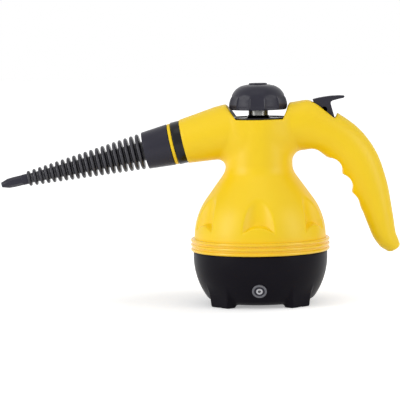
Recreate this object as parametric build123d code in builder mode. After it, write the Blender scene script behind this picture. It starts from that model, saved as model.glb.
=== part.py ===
from build123d import *
from math import acos, asin, atan2, cos, degrees, pi, radians, sin, sqrt, tan
import os

os.makedirs("parts", exist_ok=True)

# A handheld steam cleaner: a two-part housing on a round base, a boiler inside, a nozzle in front.
# Millimetres. The floor is z = 0, the nozzle points to -X and the handle to +X.
# Heights are above the floor. Other x values are from the body's upright axis.

# Clearances and stock
overrun = 40.0  # how far cutting shapes run past what they cut
wall = 2.5  # housing wall
fit_gap = 0.1  # between pieces that are assembled and stay
slide_gap = 0.05  # shafts and stems in their bores
turn_gap = 0.3  # between bodies that pass each other
lug_gap = 0.5  # round bayonet lugs and the trigger

# Body of the housing
dome_r = 68.9
dome_foot_z = 54.6
dome_straight_z = 70.0
dome_curve_r = 70.0
waist_curve_r = 20.0
waist_r = 35.0
waist_z = 146.0
neck_top_z = 222.0
root_fillet = 11.0

# Spout
spout_tilt = 12.6
spout_x = -78.7
spout_z = 170.7
spout_r = 23.2
spout_length = 82.0
spout_half_angle = 6.5
spout_crest_z = 209.3

# Handle: sections from the neck to the tip
handle_reach = 145.0
handle_tip_z = 54.5
handle_rise = 131.5
handle_deep = 26.2
handle_wide = 26.0
handle_shares = [
    (0.034, 0.985, 0.0, 0.954, 1.000),
    (0.228, 0.990, 0.0, 0.962, 0.923),
    (0.359, 1.000, -5.0, 1.000, 0.846),
    (0.517, 0.935, -23.3, 0.874, 0.769),
    (0.636, 0.833, -33.7, 0.878, 0.712),
    (0.734, 0.684, -45.9, 0.851, 0.673),
    (0.801, 0.513, -59.0, 0.744, 0.635),
    (0.847, 0.352, -76.0, 0.615, 0.596),
    (0.876, 0.217, -80.0, 0.534, 0.558),
    (0.905, 0.106, -77.0, 0.447, 0.500),
    (0.942, 0.042, -68.0, 0.366, 0.404),
    (0.969, 0.000, -60.0, 0.210, 0.231),
]
hollow_sections = 9
section_points = 8
hump_top_z = 212.7
hump_top_x = 52.0
hump_slope = 0.115
finger_r = 12.4
finger_places = [(74.4, 139.0), (85.0, 121.8)]

# Notch for the filler cap and pit for the trigger
notch_floor_z = 192.0
notch_front_x = -23.0
notch_back_x = 26.2
notch_lip_z = 208.3
notch_front_lip_x = -31.1
notch_back_lip_x = 31.6
pit_front_x = 56.6
pit_front_z = 210.6
pit_deep_x = 80.6
pit_deep_z = 193.1
pit_wall_x = 82.0
pit_wall_z = 198.9

# Dimples round the dome
dimple_count = 6
dimple_r = 24.0
dimple_low_z = 80.0
dimple_low_r = 58.8
dimple_tilt = 12.0
dimple_foot_z = 71.5
dimple_foot_r = 67.6
dimple_ledge = 50.0

# Collar ring
collar_r = 74.0
rib_r = 2.65
rib_count = 3

# Base
base_wall = 2.8
base_floor_z = 3.0
base_r = 69.8
base_curve_r = 72.4
base_curve_z = 50.0
spigot_wall = 2.3
spigot_high = 5.4
spigot_root = 5.0
foot_count = 4
foot_turn = 45.0
foot_place_r = 54.6
foot_wide = 25.0
foot_deep = 11.0
foot_high = 22.0
foot_taper = 5.0
foot_corner = 3.5

# Screws
screw_r = 1.9
screw_head_r = 3.4
screw_head_high = 2.8
socket_share = 0.45
socket_deep_share = 0.55
pilot_gap = 0.1
base_post_r = 5.4
base_post_rise = 1.2
boss_web = 2.5
base_screw_seat_z = 36.0
base_screw_long = 28.0
shell_boss_r = 5.0
shell_boss_top_z = 68.0
side_boss_r = 4.6
side_screw_r = 1.5
side_head_r = 2.8
side_head_high = 2.2
side_seat_y = 6.0
side_screw_long = 16.0
side_screw_places = [
    (-66.0, 191.0),
    (-57.5, 157.0),
    (48.0, 165.5),
    (92.0, 178.0),
    (113.0, 143.0),
    (126.0, 96.0),
]

# Boiler
boiler_r = 39.5
boiler_wall = 3.0
boiler_foot_z = 18.0
boiler_foot_edge = 9.0
flange_r = 48.4
flange_thick = 4.0
flange_z = 50.0
gasket_thick = 1.2
boiler_side_z = 84.0
boiler_top_z = 99.0
boiler_top_edge = 15.0
neck_boss_r = 14.0
neck_boss_z = 108.0
bolt_circle_r = 44.2
bolt_count = 8
bolt_turn = 22.5
bolt_long = 14.0
boiler_post_r = 4.1
boiler_post_count = 4
nut_r = 3.4
nut_thick = 3.0

# Heating element and its channel
element_r = 27.0
element_tube_r = 3.2
element_arc = 300.0
element_start = 210.0
channel_wall = 2.2
channel_deep = 5.5
pin_r = 1.2
pin_long = 9.0

# Filler neck, dish and cap
neck_r = 10.2
neck_bore_r = 8.2
neck_rim_z = 207.0
dish_r = 24.5
dish_rim = 1.4
dish_top_r = 12.2
dish_top_z = 198.6
dish_spigot_r = 21.8
dish_spigot_wall = 1.8
dish_spigot_deep = 3.6
dish_wall = 1.6
lip_thick = 1.5
cap_foot_z = 203.5
cap_r = 29.7
cap_dome_z = 229.7
cap_wall = 3.4
cap_shares = [(0.943, 0.0), (1.0, 0.134), (0.973, 0.355), (0.929, 0.515), (0.875, 0.680), (0.740, 0.840)]
cap_crown_r = 12.6
flute_count = 12
flute_r = 16.0
flute_deep = 2.0
hub_wall = 1.8
hub_foot_z = 206.0
plug_r = 8.0
plug_foot_z = 193.0
plug_flange_r = 12.0
plug_flange_thick = 3.0
cap_gasket_thick = 1.4
relief_bore_r = 3.4
relief_hole_r = 1.5
relief_seat_z = 196.0
relief_pin_r = 1.3
relief_head_r = 3.1
relief_head_thick = 3.0
relief_stem_long = 4.0
relief_wire_r = 0.35
relief_turns = 6
button_r = 10.0
button_top_z = 231.7
button_spigot_r = 6.0
button_spigot_deep = 2.4

# Trigger
pivot_x = 61.0
pivot_z = 201.5
trigger_wide = 15.0
hub_r = 4.0
trigger_pin_r = 1.5
nose_arm = 8.0
nose_angle = 7.5
nose_r = 3.0
nose_gap = 0.15
trigger_top = [(56.8, 213.1), (68.2, 215.6), (80.0, 216.7), (89.6, 216.3)]
trigger_end = [(90.2, 215.2), (89.4, 214.1)]
trigger_inner = (75.4, 210.2)
trigger_leg = [(77.4, 204.0), (79.3, 194.7)]
trigger_low = [(68.0, 203.8), (62.0, 208.0), (57.3, 211.8)]
trigger_wall = 2.0
trigger_hollow = [(60.0, 211.0), (68.2, 213.4), (73.0, 212.0), (75.2, 204.0), (77.4, 192.0), (58.0, 192.0)]
trigger_web = [(58.0, 211.0), (69.0, 205.0), (64.4, 199.4), (57.2, 202.6)]

# Steam valve under the trigger
valve_r = 8.0
valve_foot_z = 168.0
valve_top_z = 189.6
valve_seat_z = 181.0
chamber_r = 5.2
gallery_r = 3.6
gallery_top_z = 187.0
stem_r = 2.55
stem_head_r = 3.0
stem_head_high = 2.0
poppet_r = 4.6
poppet_thick = 0.9
seal_thick = 0.8
plug_head_thick = 2.5
plug_head_r = 7.2
spring_spigot = 2.8
spring_spigot_r = 2.4
spring_r = 3.7
spring_wire_r = 0.5
spring_turns = 4
port_r = 2.6
port_bore_r = 1.4
port_long = 8.0
inlet_z = 175.0
outlet_z = 185.5
saddle_r = 5.0
saddle_z = 180.0

# Hoses
hose_r = 3.8
hose_clamp_r = 5.0
hose_clamp_wide = 4.0
hose_bend = 9.0
elbow_x = 19.3
elbow_foot_r = 4.8
elbow_foot = 3.0
elbow_stub_r = 2.9
port_top_z = 112.0
outlet_side_y = 17.0
outlet_side_x = 20.0
outlet_turn_x = 44.0
outlet_side_z = 181.0
outlet_lead = 14.0
barb_long = 8.0
clamp_in = 2.0

# Spout socket, measured along the spout's line from its end
socket_r = 22.0
socket_front = 8.2
socket_tail_r = 20.4
socket_tail = 12.0
socket_floor = 3.0
socket_bore_r = 16.4
groove_r = 18.6
groove_back = -6.0
groove_front = -1.0
lug_count = 2
lug_r = 18.3
lug_back = -5.5
lug_front = -1.5
lug_half = 11.0
entry_half = 14.0
twist_angle = 40.0
pipe_r = 4.0
pipe_bore_r = 2.8
pipe_back = -30.0
pipe_front = 3.0
seal_place = 0.5
seal_r = 1.75

# Nozzle, measured along the same line
band_r = 21.3
band_back = 8.6
band_front = 13.1
coupler_core_r = 17.4
coupler_back = 13.5
coupler_front = 41.5
coupler_r = 21.5
coupler_end_r = 19.1
spigot_r = 16.0
spigot_back = -7.0
spigot_bore_r = 7.6
spigot_bore_front = 4.5
shank_r = 9.0
shank_back = 36.0
fin_count = 20
fin_first = 46.4
fin_last = 166.6
fin_first_r = 18.5
fin_last_r = 7.75
fin_root = 3.9
fin_tip = 2.2
core_first_r = 10.3
core_last_r = 5.0
core_back = 41.5
core_front = 168.6
tube_r = 3.0
tube_bore_r = 1.8
tube_back = 5.0
tube_front = 160.0
tip_collar_r = 5.6
tip_collar_front = 175.0
tip_flat = 9.6
tip_flat_front = 190.5
tip_cone_r = 4.6
tip_bore_front = 178.0
tip_end = 197.6
tip_end_r = 2.6
tip_shank_back = 160.4
jet_r = 1.1

# Base electrics
lamp_z = 18.0
bezel_r = 7.7
bezel_rim = 1.1
bezel_proud = 0.8
bezel_dip = 0.5
bezel_seat = 0.6
bezel_bore_r = 3.2
bezel_barrel_r = 4.6
bezel_barrel = 8.0
lens_r = 3.1
lamp_r = 3.0
lamp_long = 9.0
lens_deep = 3.0
lens_crown = 0.5
cord_z = 22.0
cord_r = 3.6
cord_boss_r = 8.5
cord_boss_y = 66.5
cord_boss_in = 56.0
bushing_r = 6.5
bushing_neck_r = 5.2
bushing_flange = 1.5
block_wide = 18.0
block_deep = 9.0
block_high = 11.0
block_place = 44.0
block_ways = 3
block_way_r = 2.0
block_way_deep = 3.0
block_pitch = 6.0
thermostat_r = 8.0
thermostat_high = 5.5
ear_r = 3.0
ear_place = 11.0
ear_thick = 1.2
ear_screw_r = 1.2
ear_head_r = 2.2
ear_head_high = 1.6
ear_screw_deep = 2.6
blade_wide = 6.3
blade_thick = 0.8
blade_long = 6.0
blade_place = 4.0
fuse_r = 2.1
fuse_long = 12.0
fuse_z = 32.0
clip_wide = 5.0
clip_thick = 0.8
clip_tab = 6.5
clamp_bar_wide = 20.0
clamp_bar_deep = 5.0
clamp_bar_thick = 2.4
clamp_place_y = 48.0
clamp_post_r = 2.6
clamp_post_place = 7.0
clamp_rib_wide = 9.0
clamp_rib_thick = 2.5
clamp_screw_long = 9.0
wire_r = 0.9
wire_bend = 3.0
wire_z = 9.0
wire_step = 8.0
wire_pin_y = 5.2
wire_out_y = 13.5
wire_in_y = 10.5
wire_end_z = 11.0

# Values that follow from the sizes above
spout_out = Vector(-cos(radians(spout_tilt)), 0, -sin(radians(spout_tilt)))
front_reach = -spout_x + tip_end * cos(radians(spout_tilt))
body_x = (front_reach - handle_reach) / 2
collar_high = 2 * rib_r * rib_count
base_center_r = base_r - base_curve_r
collar_inner_r = dome_r + fit_gap
boiler_inner_r = boiler_r - boiler_wall
boiler_corner = boiler_wall * (sqrt(2) - 1)
spigot_out_r = dome_r - wall - 2 * fit_gap
base_post_top_z = dome_foot_z + base_post_rise
element_z = boiler_foot_z - element_tube_r
plug_top_z = neck_rim_z + cap_gasket_thick + 2 * fit_gap + plug_flange_thick
floor_top_z = base_floor_z + base_wall
cable_bar_z = cord_z + cord_r
gasket_top_z = flange_z + gasket_thick
flange_top_z = gasket_top_z + flange_thick
plug_head_z = neck_rim_z + cap_gasket_thick + 2 * fit_gap
nose_x = pivot_x + nose_arm * cos(radians(nose_angle))
nose_z = pivot_z + nose_arm * sin(radians(nose_angle))
stem_top_z = nose_z - nose_r - nose_gap
poppet_z = valve_seat_z - seal_thick - poppet_thick
plug_inner_z = valve_foot_z + plug_head_thick
fin_pitch = (fin_last - fin_first) / (fin_count - 1)
notch_front_run = (notch_front_lip_x - notch_front_x) / (notch_lip_z - notch_floor_z)
notch_back_run = (notch_back_lip_x - notch_back_x) / (notch_lip_z - notch_floor_z)
pit_slope = (pit_front_z - pit_deep_z) / (pit_deep_x - pit_front_x)
trigger_slot = trigger_wide / 2 + lug_gap
port_end_x = nose_x - valve_r - port_long
hose_start_x = nose_x - valve_r - turn_gap

curve_sum = dome_curve_r + waist_curve_r
dome_span = sqrt((waist_z - dome_straight_z) ** 2 + (curve_sum - dome_r + waist_r) ** 2)
dome_turn = degrees(
    atan2(waist_z - dome_straight_z, curve_sum - dome_r + waist_r) - acos(curve_sum / dome_span)
)

side = Plane(origin=(body_x, 0, 0), x_dir=(1, 0, 0), z_dir=(0, -1, 0))
upright = Axis((body_x, 0, 0), (0, 0, 1))
spout_end = Vector(body_x + spout_x, 0, spout_z)
spout_axis = Axis(spout_end, spout_out)
spout_side = Plane(origin=spout_end, x_dir=spout_out, z_dir=(0, 1, 0))


def level(height):
    """The level plane at a height, centred on the upright axis."""
    return Plane(origin=(body_x, 0, height))


def across(x, z, y=0.0):
    """A plane across the machine at (x, z), facing the far side."""
    return Plane(origin=(body_x + x, y, z), x_dir=(-1, 0, 0), z_dir=(0, 1, 0))


def out_along(distance):
    """A plane square to the spout's line, facing out of the nozzle."""
    return Plane(origin=spout_end + spout_out * distance, x_dir=(0, 1, 0), z_dir=spout_out)


def spoke(angle, z=0.0):
    """A plane through the upright axis, its x running out at an angle and its y up."""
    turn = radians(angle)
    return Plane(origin=(body_x, 0, z), x_dir=(cos(turn), sin(turn), 0), z_dir=(sin(turn), -cos(turn), 0))


def upward(x, y, z=0.0):
    """A level plane at a point beside the upright axis."""
    return Plane(origin=(body_x + x, y, z))


def round_places(count, radius, start):
    """Points of a ring of places round the upright axis."""
    angles = [radians(start + 360 * n / count) for n in range(count)]
    return [(radius * cos(a), radius * sin(a)) for a in angles]


def on_circle(x, y, radius, angle):
    """The local point of a circle at an angle."""
    return (x + radius * cos(radians(angle)), y + radius * sin(radians(angle)))


def outline(points):
    """A closed polygon in the current sketch."""
    with BuildLine(Plane.XY) as rim:
        Polyline(*points, close=True)
    make_face(rim.edges())


def housing_form(inset, sections, junction):
    """The whole housing as one solid, drawn in by an inset."""
    foot = (dome_r - inset, dome_straight_z)
    with BuildPart() as form:
        with BuildSketch(side):
            with BuildLine():
                Line((0, dome_foot_z), (dome_r - inset, dome_foot_z))
                Line((dome_r - inset, dome_foot_z), foot)
                CenterArc((dome_r - dome_curve_r, dome_straight_z), dome_curve_r - inset, 0, dome_turn)
                CenterArc((waist_r + waist_curve_r, waist_z), waist_curve_r + inset, 180, dome_turn)
                Line(
                    on_circle(dome_r - dome_curve_r, dome_straight_z, dome_curve_r - inset, dome_turn),
                    on_circle(waist_r + waist_curve_r, waist_z, waist_curve_r + inset, 180 + dome_turn),
                )
                Line((waist_r - inset, waist_z), (waist_r - inset, neck_top_z))
                Line((waist_r - inset, neck_top_z), (0, neck_top_z))
                Line((0, neck_top_z), (0, dome_foot_z))
            make_face()
        revolve(axis=upright)
        with BuildSketch(out_along(0)):
            Circle(spout_r - inset)
        with BuildSketch(out_along(-spout_length)):
            Circle(spout_r - inset + spout_length * tan(radians(spout_half_angle)))
        loft()
        front = [e for e in form.edges().filter_by(GeomType.BSPLINE) if e.center().X < body_x - waist_r / 3]
        front += [e for e in form.edges().filter_by(GeomType.BEZIER) if e.center().X < body_x - waist_r / 3]
        fillet(front, radius=junction)
        for x, z, lean, deep, wide in handle_shares[:sections]:
            along = Vector(cos(radians(lean)), 0, sin(radians(lean)))
            place = (body_x + x * handle_reach, 0, handle_tip_z + z * handle_rise)
            half_w, half_d = wide * handle_wide - inset, deep * handle_deep - inset
            turns = [2 * pi * n / section_points for n in range(section_points)]
            with BuildSketch(Plane(origin=place, x_dir=(0, 1, 0), z_dir=along)):
                with BuildLine():
                    Spline(*[(half_w * cos(t), half_d * sin(t)) for t in turns], periodic=True)
                make_face()
        loft()
        back = [
            e
            for e in form.edges().filter_by(GeomType.BSPLINE)
            if e.bounding_box().min.X > body_x + waist_r / 3
            and e.bounding_box().max.X < body_x + 1.5 * waist_r
            and e.length > waist_r / 2
        ]
        fillet(back, radius=junction)
    return form.part


def notch_tool(grow):
    """What the cap's notch takes away, with the lip's place, grown by a wall for the hollow."""
    front = notch_front_x - lip_thick - grow
    back = notch_back_x + grow
    top = neck_top_z + overrun - notch_floor_z
    with BuildPart() as tool:
        with BuildSketch(side):
            outline(
                [
                    (front, notch_floor_z - grow),
                    (back, notch_floor_z - grow),
                    (back + notch_back_run * top, notch_floor_z + top),
                    (front + notch_front_run * top, notch_floor_z + top),
                ]
            )
        extrude(amount=dome_r, both=True)
    return tool.part


def crown_tool(grow):
    """What the crests beside the notch take away."""
    front_z = spout_crest_z - grow
    back_z = hump_top_z - grow
    with BuildPart() as tool:
        with BuildSketch(side):
            outline(
                [
                    (notch_front_lip_x - overrun, front_z),
                    (0, front_z),
                    (0, back_z - hump_slope * hump_top_x),
                    (hump_top_x, back_z),
                    (hump_top_x, neck_top_z + overrun),
                    (notch_front_lip_x - overrun, neck_top_z + overrun),
                ]
            )
        extrude(amount=dome_r, both=True)
    return tool.part


def pit_tool(grow):
    """What the trigger's pit takes away."""
    rise = overrun
    wall_run = (pit_wall_x - pit_deep_x) / (pit_wall_z - pit_deep_z)
    drop = grow * sqrt(1 + pit_slope**2)
    with BuildPart() as tool:
        with BuildSketch(side):
            outline(
                [
                    (pit_deep_x + grow, pit_deep_z - drop - pit_slope * grow),
                    (pit_deep_x + grow + wall_run * rise, pit_deep_z + rise),
                    (pit_front_x - rise / 2, pit_deep_z + rise),
                    (pit_front_x - rise / 2, pit_front_z - drop + pit_slope * rise / 2),
                ]
            )
        extrude(amount=dome_r, both=True)
    return tool.part


def finger_tool(grow):
    """The finger channels under the handle."""
    with BuildPart() as tool:
        for x, z in finger_places:
            with BuildSketch(across(x, z)):
                Circle(finger_r + grow)
            extrude(amount=dome_r, both=True)
    return tool.part


def dimple_tool(grow):
    """Six scoops with sloping feet round the dome."""
    with BuildPart() as scoops:
        for n in range(dimple_count):
            ray = spoke(-90 + n * 360 / dimple_count, dimple_low_z)
            lean = radians(dimple_tilt)
            up = ray.y_dir * cos(lean) - ray.x_dir * sin(lean)
            origin = ray.origin + ray.x_dir * (dimple_low_r + dimple_r)
            with BuildSketch(Plane(origin=origin, x_dir=ray.z_dir, z_dir=up)):
                Circle(dimple_r + grow)
            extrude(amount=waist_z - dimple_low_z, both=True)
        run = tan(radians(dimple_ledge))
        low = dimple_foot_z - grow / cos(radians(dimple_ledge))
        with BuildSketch(side):
            outline(
                [
                    (dimple_foot_r + overrun, low - overrun * run),
                    (dimple_foot_r - overrun, low + overrun * run),
                    (dimple_foot_r - overrun, waist_z + overrun * run),
                    (dimple_foot_r + overrun, waist_z + overrun * run),
                ]
            )
        revolve(axis=upright, mode=Mode.INTERSECT)
    return scoops.part


def turned(points):
    """A piece turned about the upright axis from its half profile."""
    with BuildPart() as piece:
        with BuildSketch(side):
            outline(points)
        revolve(axis=upright)
    return piece.part


def turned_out(points):
    """A piece turned about the spout's line from its half profile."""
    with BuildPart() as piece:
        with BuildSketch(spout_side):
            outline(points)
        revolve(axis=spout_axis)
    return piece.part


def slab(points, half):
    """A side outline made thick to both sides of the middle plane."""
    with BuildPart() as piece:
        with BuildSketch(side):
            outline(points)
        extrude(amount=half, both=True)
    return piece.part


def ring_sector(inner, outer, start, size):
    """A piece of a ring between two radii, from an angle over an angle."""
    with BuildLine(Plane.XY) as rim:
        CenterArc((0, 0), outer, start, size)
        CenterArc((0, 0), inner, start, size)
        Line(on_circle(0, 0, inner, start), on_circle(0, 0, outer, start))
        Line(on_circle(0, 0, inner, start + size), on_circle(0, 0, outer, start + size))
    make_face(rim.edges())


def bowl_face(angle, height):
    """A plane on the base's outer curve at a bearing and a height, facing outwards."""
    dip = asin((base_curve_z - height) / base_curve_r)
    ray = Vector(cos(radians(angle)), sin(radians(angle)), 0)
    origin = Vector(body_x, 0, height) + ray * (base_center_r + base_curve_r * cos(dip))
    return Plane(origin=origin, x_dir=(-ray.Y, ray.X, 0), z_dir=ray * cos(dip) - Vector(0, 0, sin(dip)))


def bowl_solid(inset, top):
    """The base's round bowl as one solid, drawn in by an inset."""
    radius = base_curve_r - inset
    drop = degrees(asin((base_curve_z - base_floor_z - inset) / radius))
    corner = on_circle(base_center_r, base_curve_z, radius, -drop)
    rim = base_center_r + radius
    with BuildPart() as bowl:
        with BuildSketch(side):
            with BuildLine():
                Line((0, base_floor_z + inset), corner)
                CenterArc((base_center_r, base_curve_z), radius, -drop, drop)
                Line((rim, base_curve_z), (rim, top))
                Line((rim, top), (0, top))
                Line((0, top), (0, base_floor_z + inset))
            make_face()
        revolve(axis=upright)
    return bowl.part


def pin_solid(plane, radius, start, stop):
    """A round bar along a plane's normal, between two distances."""
    with BuildPart() as bar:
        with BuildSketch(plane.offset(start)):
            Circle(radius)
        extrude(amount=stop - start)
    return bar.part


def ring_solid(plane, inner, outer, start, stop):
    """A round sleeve along a plane's normal, between two distances."""
    with BuildPart() as sleeve:
        with BuildSketch(plane.offset(start)):
            Circle(outer)
            Circle(inner, mode=Mode.SUBTRACT)
        extrude(amount=stop - start)
    return sleeve.part


def screw_solid(plane, shank, length, head, head_high):
    """A socket-head screw: its seat on the plane, its head behind, its shank ahead."""
    with BuildPart() as screw:
        with BuildSketch(plane.offset(-head_high)):
            Circle(head)
        extrude(amount=head_high)
        with BuildSketch(plane):
            Circle(shank)
        extrude(amount=length)
        with BuildSketch(plane.offset(-head_high)):
            RegularPolygon(radius=head * socket_share, side_count=6)
        extrude(amount=head_high * socket_deep_share, mode=Mode.SUBTRACT)
    return screw.part


def tube_solid(points, bend, outer, inner):
    """A hose or wire of straight runs and tangent bends."""
    route = [Vector(body_x, 0, 0) + Vector(*p) for p in points]
    with BuildPart() as tube:
        with BuildLine() as path:
            FilletPolyline(*route, radius=bend) if len(route) > 2 else Line(*route)
        with BuildSketch(Plane(origin=route[0], z_dir=path.line % 0)):
            Circle(outer)
            if inner > 0:
                Circle(inner, mode=Mode.SUBTRACT)
        sweep(path=path.line)
    return tube.part


def coil_solid(plane, radius, wire, high, turns):
    """A coil spring standing on a plane, of faceted wire."""
    with BuildPart() as coil:
        with BuildLine(plane) as path:
            Helix(pitch=(high - 2 * wire) / turns, height=high - 2 * wire, radius=radius - wire)
        with BuildSketch(Plane(origin=path.line @ 0, z_dir=path.line % 0)):
            RegularPolygon(radius=wire, side_count=6)
        sweep(path=path.line, is_frenet=True)
    return coil.part.moved(Location(plane.z_dir * wire))


def keep(part, name):
    """Label a finished piece and write it."""
    part.label = name
    export_step(part, "parts/" + name + ".step")


# Housing: one solid form, hollowed, bossed and split into its two halves
outer_form = housing_form(0, len(handle_shares), root_fillet)
inner_form = housing_form(wall, hollow_sections, root_fillet)
foot_spots = round_places(foot_count, foot_place_r, foot_turn)

with BuildPart() as crested:
    add(outer_form)
    add(crown_tool(0), mode=Mode.SUBTRACT)

with BuildPart() as skin:
    add(crested.part)
    add(notch_tool(0), mode=Mode.SUBTRACT)
    add(pit_tool(0), mode=Mode.SUBTRACT)
    add(finger_tool(0), mode=Mode.SUBTRACT)
    add(dimple_tool(0), mode=Mode.SUBTRACT)

with BuildPart() as hollow:
    add(inner_form)
    add(crown_tool(wall), mode=Mode.SUBTRACT)
    add(notch_tool(wall), mode=Mode.SUBTRACT)
    add(pit_tool(wall), mode=Mode.SUBTRACT)
    add(finger_tool(wall), mode=Mode.SUBTRACT)
    add(dimple_tool(wall), mode=Mode.SUBTRACT)

with BuildPart() as bosses:
    for x, z in side_screw_places:
        add(pin_solid(across(x, z), side_boss_r, -dome_r, dome_r))
    for y in (1, -1):
        add(pin_solid(across(pivot_x, pivot_z), hub_r, y * trigger_slot, y * waist_r))
        add(pin_solid(across(nose_x, saddle_z), saddle_r, y * (valve_r + fit_gap), y * waist_r))
    for n, (x, y) in enumerate(foot_spots):
        add(pin_solid(upward(x, y), shell_boss_r, base_post_top_z + fit_gap, shell_boss_top_z))
        web_z = dome_foot_z + spigot_high + fit_gap
        with BuildSketch(spoke(foot_turn + n * 360 / foot_count)):
            outline(
                [
                    (foot_place_r, web_z),
                    (dome_r, web_z),
                    (dome_r, shell_boss_top_z),
                    (foot_place_r, shell_boss_top_z),
                ]
            )
        extrude(amount=boss_web / 2, both=True)
    add(skin.part, mode=Mode.INTERSECT)

with BuildPart() as housing:
    add(skin.part)
    add(hollow.part, mode=Mode.SUBTRACT)
    add(bosses.part)
    hole_r = dish_spigot_r + fit_gap
    add(pin_solid(level(0), hole_r, notch_floor_z - 2 * wall, notch_floor_z + wall), mode=Mode.SUBTRACT)
    for x, z in side_screw_places:
        far = side_seat_y - side_screw_long - fit_gap
        add(pin_solid(across(x, z), side_screw_r + pilot_gap, far, dome_r), mode=Mode.SUBTRACT)
        add(pin_solid(across(x, z), side_head_r + pilot_gap, side_seat_y, dome_r), mode=Mode.SUBTRACT)
    pin_half = hub_r + trigger_slot
    bore_r = trigger_pin_r + slide_gap
    add(pin_solid(across(pivot_x, pivot_z), bore_r, -pin_half, pin_half), mode=Mode.SUBTRACT)
    for x, y in foot_spots:
        tip = base_screw_seat_z + base_screw_long + fit_gap
        add(pin_solid(upward(x, y), screw_r + pilot_gap, dome_foot_z, tip), mode=Mode.SUBTRACT)
    slot = [
        (pit_front_x - 2 * lug_gap, pit_deep_z - wall - lug_gap),
        (pit_deep_x + lug_gap, pit_deep_z - 2 * wall),
        (pit_deep_x + lug_gap, pit_front_z + overrun),
        (pit_front_x - 2 * lug_gap, pit_front_z + overrun),
    ]
    add(slab(slot, trigger_slot), mode=Mode.SUBTRACT)

with BuildPart() as shell_left:
    add(housing.part)
    split(bisect_by=Plane.XZ, keep=Keep.TOP)
keep(shell_left.part, "shell_left")

with BuildPart() as shell_right:
    add(housing.part)
    split(bisect_by=Plane.XZ, keep=Keep.BOTTOM)
keep(shell_right.part, "shell_right")

with BuildPart() as shell_screws:
    for x, z in side_screw_places:
        seat = Plane(origin=(body_x + x, side_seat_y, z), x_dir=(1, 0, 0), z_dir=(0, -1, 0))
        add(screw_solid(seat, side_screw_r, side_screw_long, side_head_r, side_head_high))
keep(shell_screws.part, "shell_screws")

# Collar ring on the rim of the base
with BuildPart() as ribbed_collar:
    band = collar_r - rib_r
    top = dome_foot_z + collar_high
    with BuildSketch(side):
        with BuildLine():
            Line((collar_inner_r, top), (collar_inner_r, dome_foot_z))
            Line((collar_inner_r, dome_foot_z), (band, dome_foot_z))
            for n in range(rib_count):
                CenterArc((band, dome_foot_z + (2 * n + 1) * rib_r), rib_r, -90, 180)
            Line((band, top), (collar_inner_r, top))
        make_face()
    revolve(axis=upright)
keep(ribbed_collar.part, "ribbed_collar")

# Base: bowl with feet, screw posts, boiler posts and its openings
lamp_plane = bowl_face(-90, lamp_z)
cord_plane = Plane(origin=(body_x, 0, cord_z), x_dir=(-1, 0, 0), z_dir=(0, 1, 0))
post_spots = round_places(boiler_post_count, bolt_circle_r, bolt_turn)
bolt_spots = round_places(bolt_count, bolt_circle_r, bolt_turn)
nut_spots = round_places(boiler_post_count, bolt_circle_r, bolt_turn + 180 / boiler_post_count)

with BuildPart() as bowl_room:
    add(bowl_solid(base_wall, dome_foot_z + overrun))

with BuildPart() as base_cup:
    add(bowl_solid(0, dome_foot_z))
    for n in range(foot_count):
        with BuildSketch(level(0)):
            with Locations(Location((0, 0, 0), (0, 0, foot_turn + n * 360 / foot_count))):
                with Locations((foot_place_r, 0)):
                    RectangleRounded(foot_deep, foot_wide, foot_corner)
        extrude(amount=foot_high, taper=-foot_taper)
    add(bowl_room.part, mode=Mode.SUBTRACT)
    spigot_in_r = spigot_out_r - spigot_wall
    add(
        turned(
            [
                (spigot_in_r, dome_foot_z - spigot_root),
                (base_r - base_wall / 2, dome_foot_z - spigot_root),
                (base_r - base_wall / 2, dome_foot_z),
                (spigot_out_r, dome_foot_z),
                (spigot_out_r, dome_foot_z + spigot_high),
                (spigot_in_r, dome_foot_z + spigot_high),
            ]
        )
    )
    for x, y in foot_spots:
        add(pin_solid(upward(x, y), base_post_r, base_floor_z + base_wall, base_post_top_z))
    for x, y in post_spots:
        add(pin_solid(upward(x, y), boiler_post_r, base_floor_z, flange_z - flange_thick))
    add(pin_solid(cord_plane, cord_boss_r, cord_boss_in, cord_boss_y))
    for x in (clamp_post_place, -clamp_post_place):
        add(pin_solid(upward(x, clamp_place_y), clamp_post_r, base_floor_z, cable_bar_z))
    with BuildSketch(upward(0, clamp_place_y, base_floor_z)):
        Rectangle(clamp_rib_wide, clamp_rib_thick)
    extrude(amount=cord_z - cord_r - base_floor_z)
    for x, y in foot_spots:
        recess = screw_head_r + turn_gap
        add(pin_solid(upward(x, y), recess, -base_floor_z, base_screw_seat_z), mode=Mode.SUBTRACT)
        add(pin_solid(upward(x, y), screw_r + pilot_gap, 0, dome_foot_z + overrun), mode=Mode.SUBTRACT)
    for x, y in post_spots:
        depth = flange_top_z - bolt_long - fit_gap
        add(pin_solid(upward(x, y), screw_r + pilot_gap, depth, flange_z), mode=Mode.SUBTRACT)
    neck = bushing_neck_r + fit_gap
    add(pin_solid(cord_plane, neck, cord_boss_in - wall, cord_boss_y + wall), mode=Mode.SUBTRACT)
    add(pin_solid(lamp_plane, bezel_barrel_r + fit_gap, -bezel_barrel, base_wall), mode=Mode.SUBTRACT)
    add(pin_solid(lamp_plane, bezel_r + fit_gap, -bezel_seat, base_wall), mode=Mode.SUBTRACT)
    for x in (clamp_post_place, -clamp_post_place):
        place = upward(x, clamp_place_y)
        bottom = cable_bar_z - clamp_screw_long
        add(pin_solid(place, ear_screw_r + slide_gap, bottom, cable_bar_z), mode=Mode.SUBTRACT)
keep(base_cup.part, "base_cup")

with BuildPart() as base_screws:
    for x, y in foot_spots:
        seat = upward(x, y, base_screw_seat_z)
        add(screw_solid(seat, screw_r, base_screw_long, screw_head_r, screw_head_high))
keep(base_screws.part, "base_screws")

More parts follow.
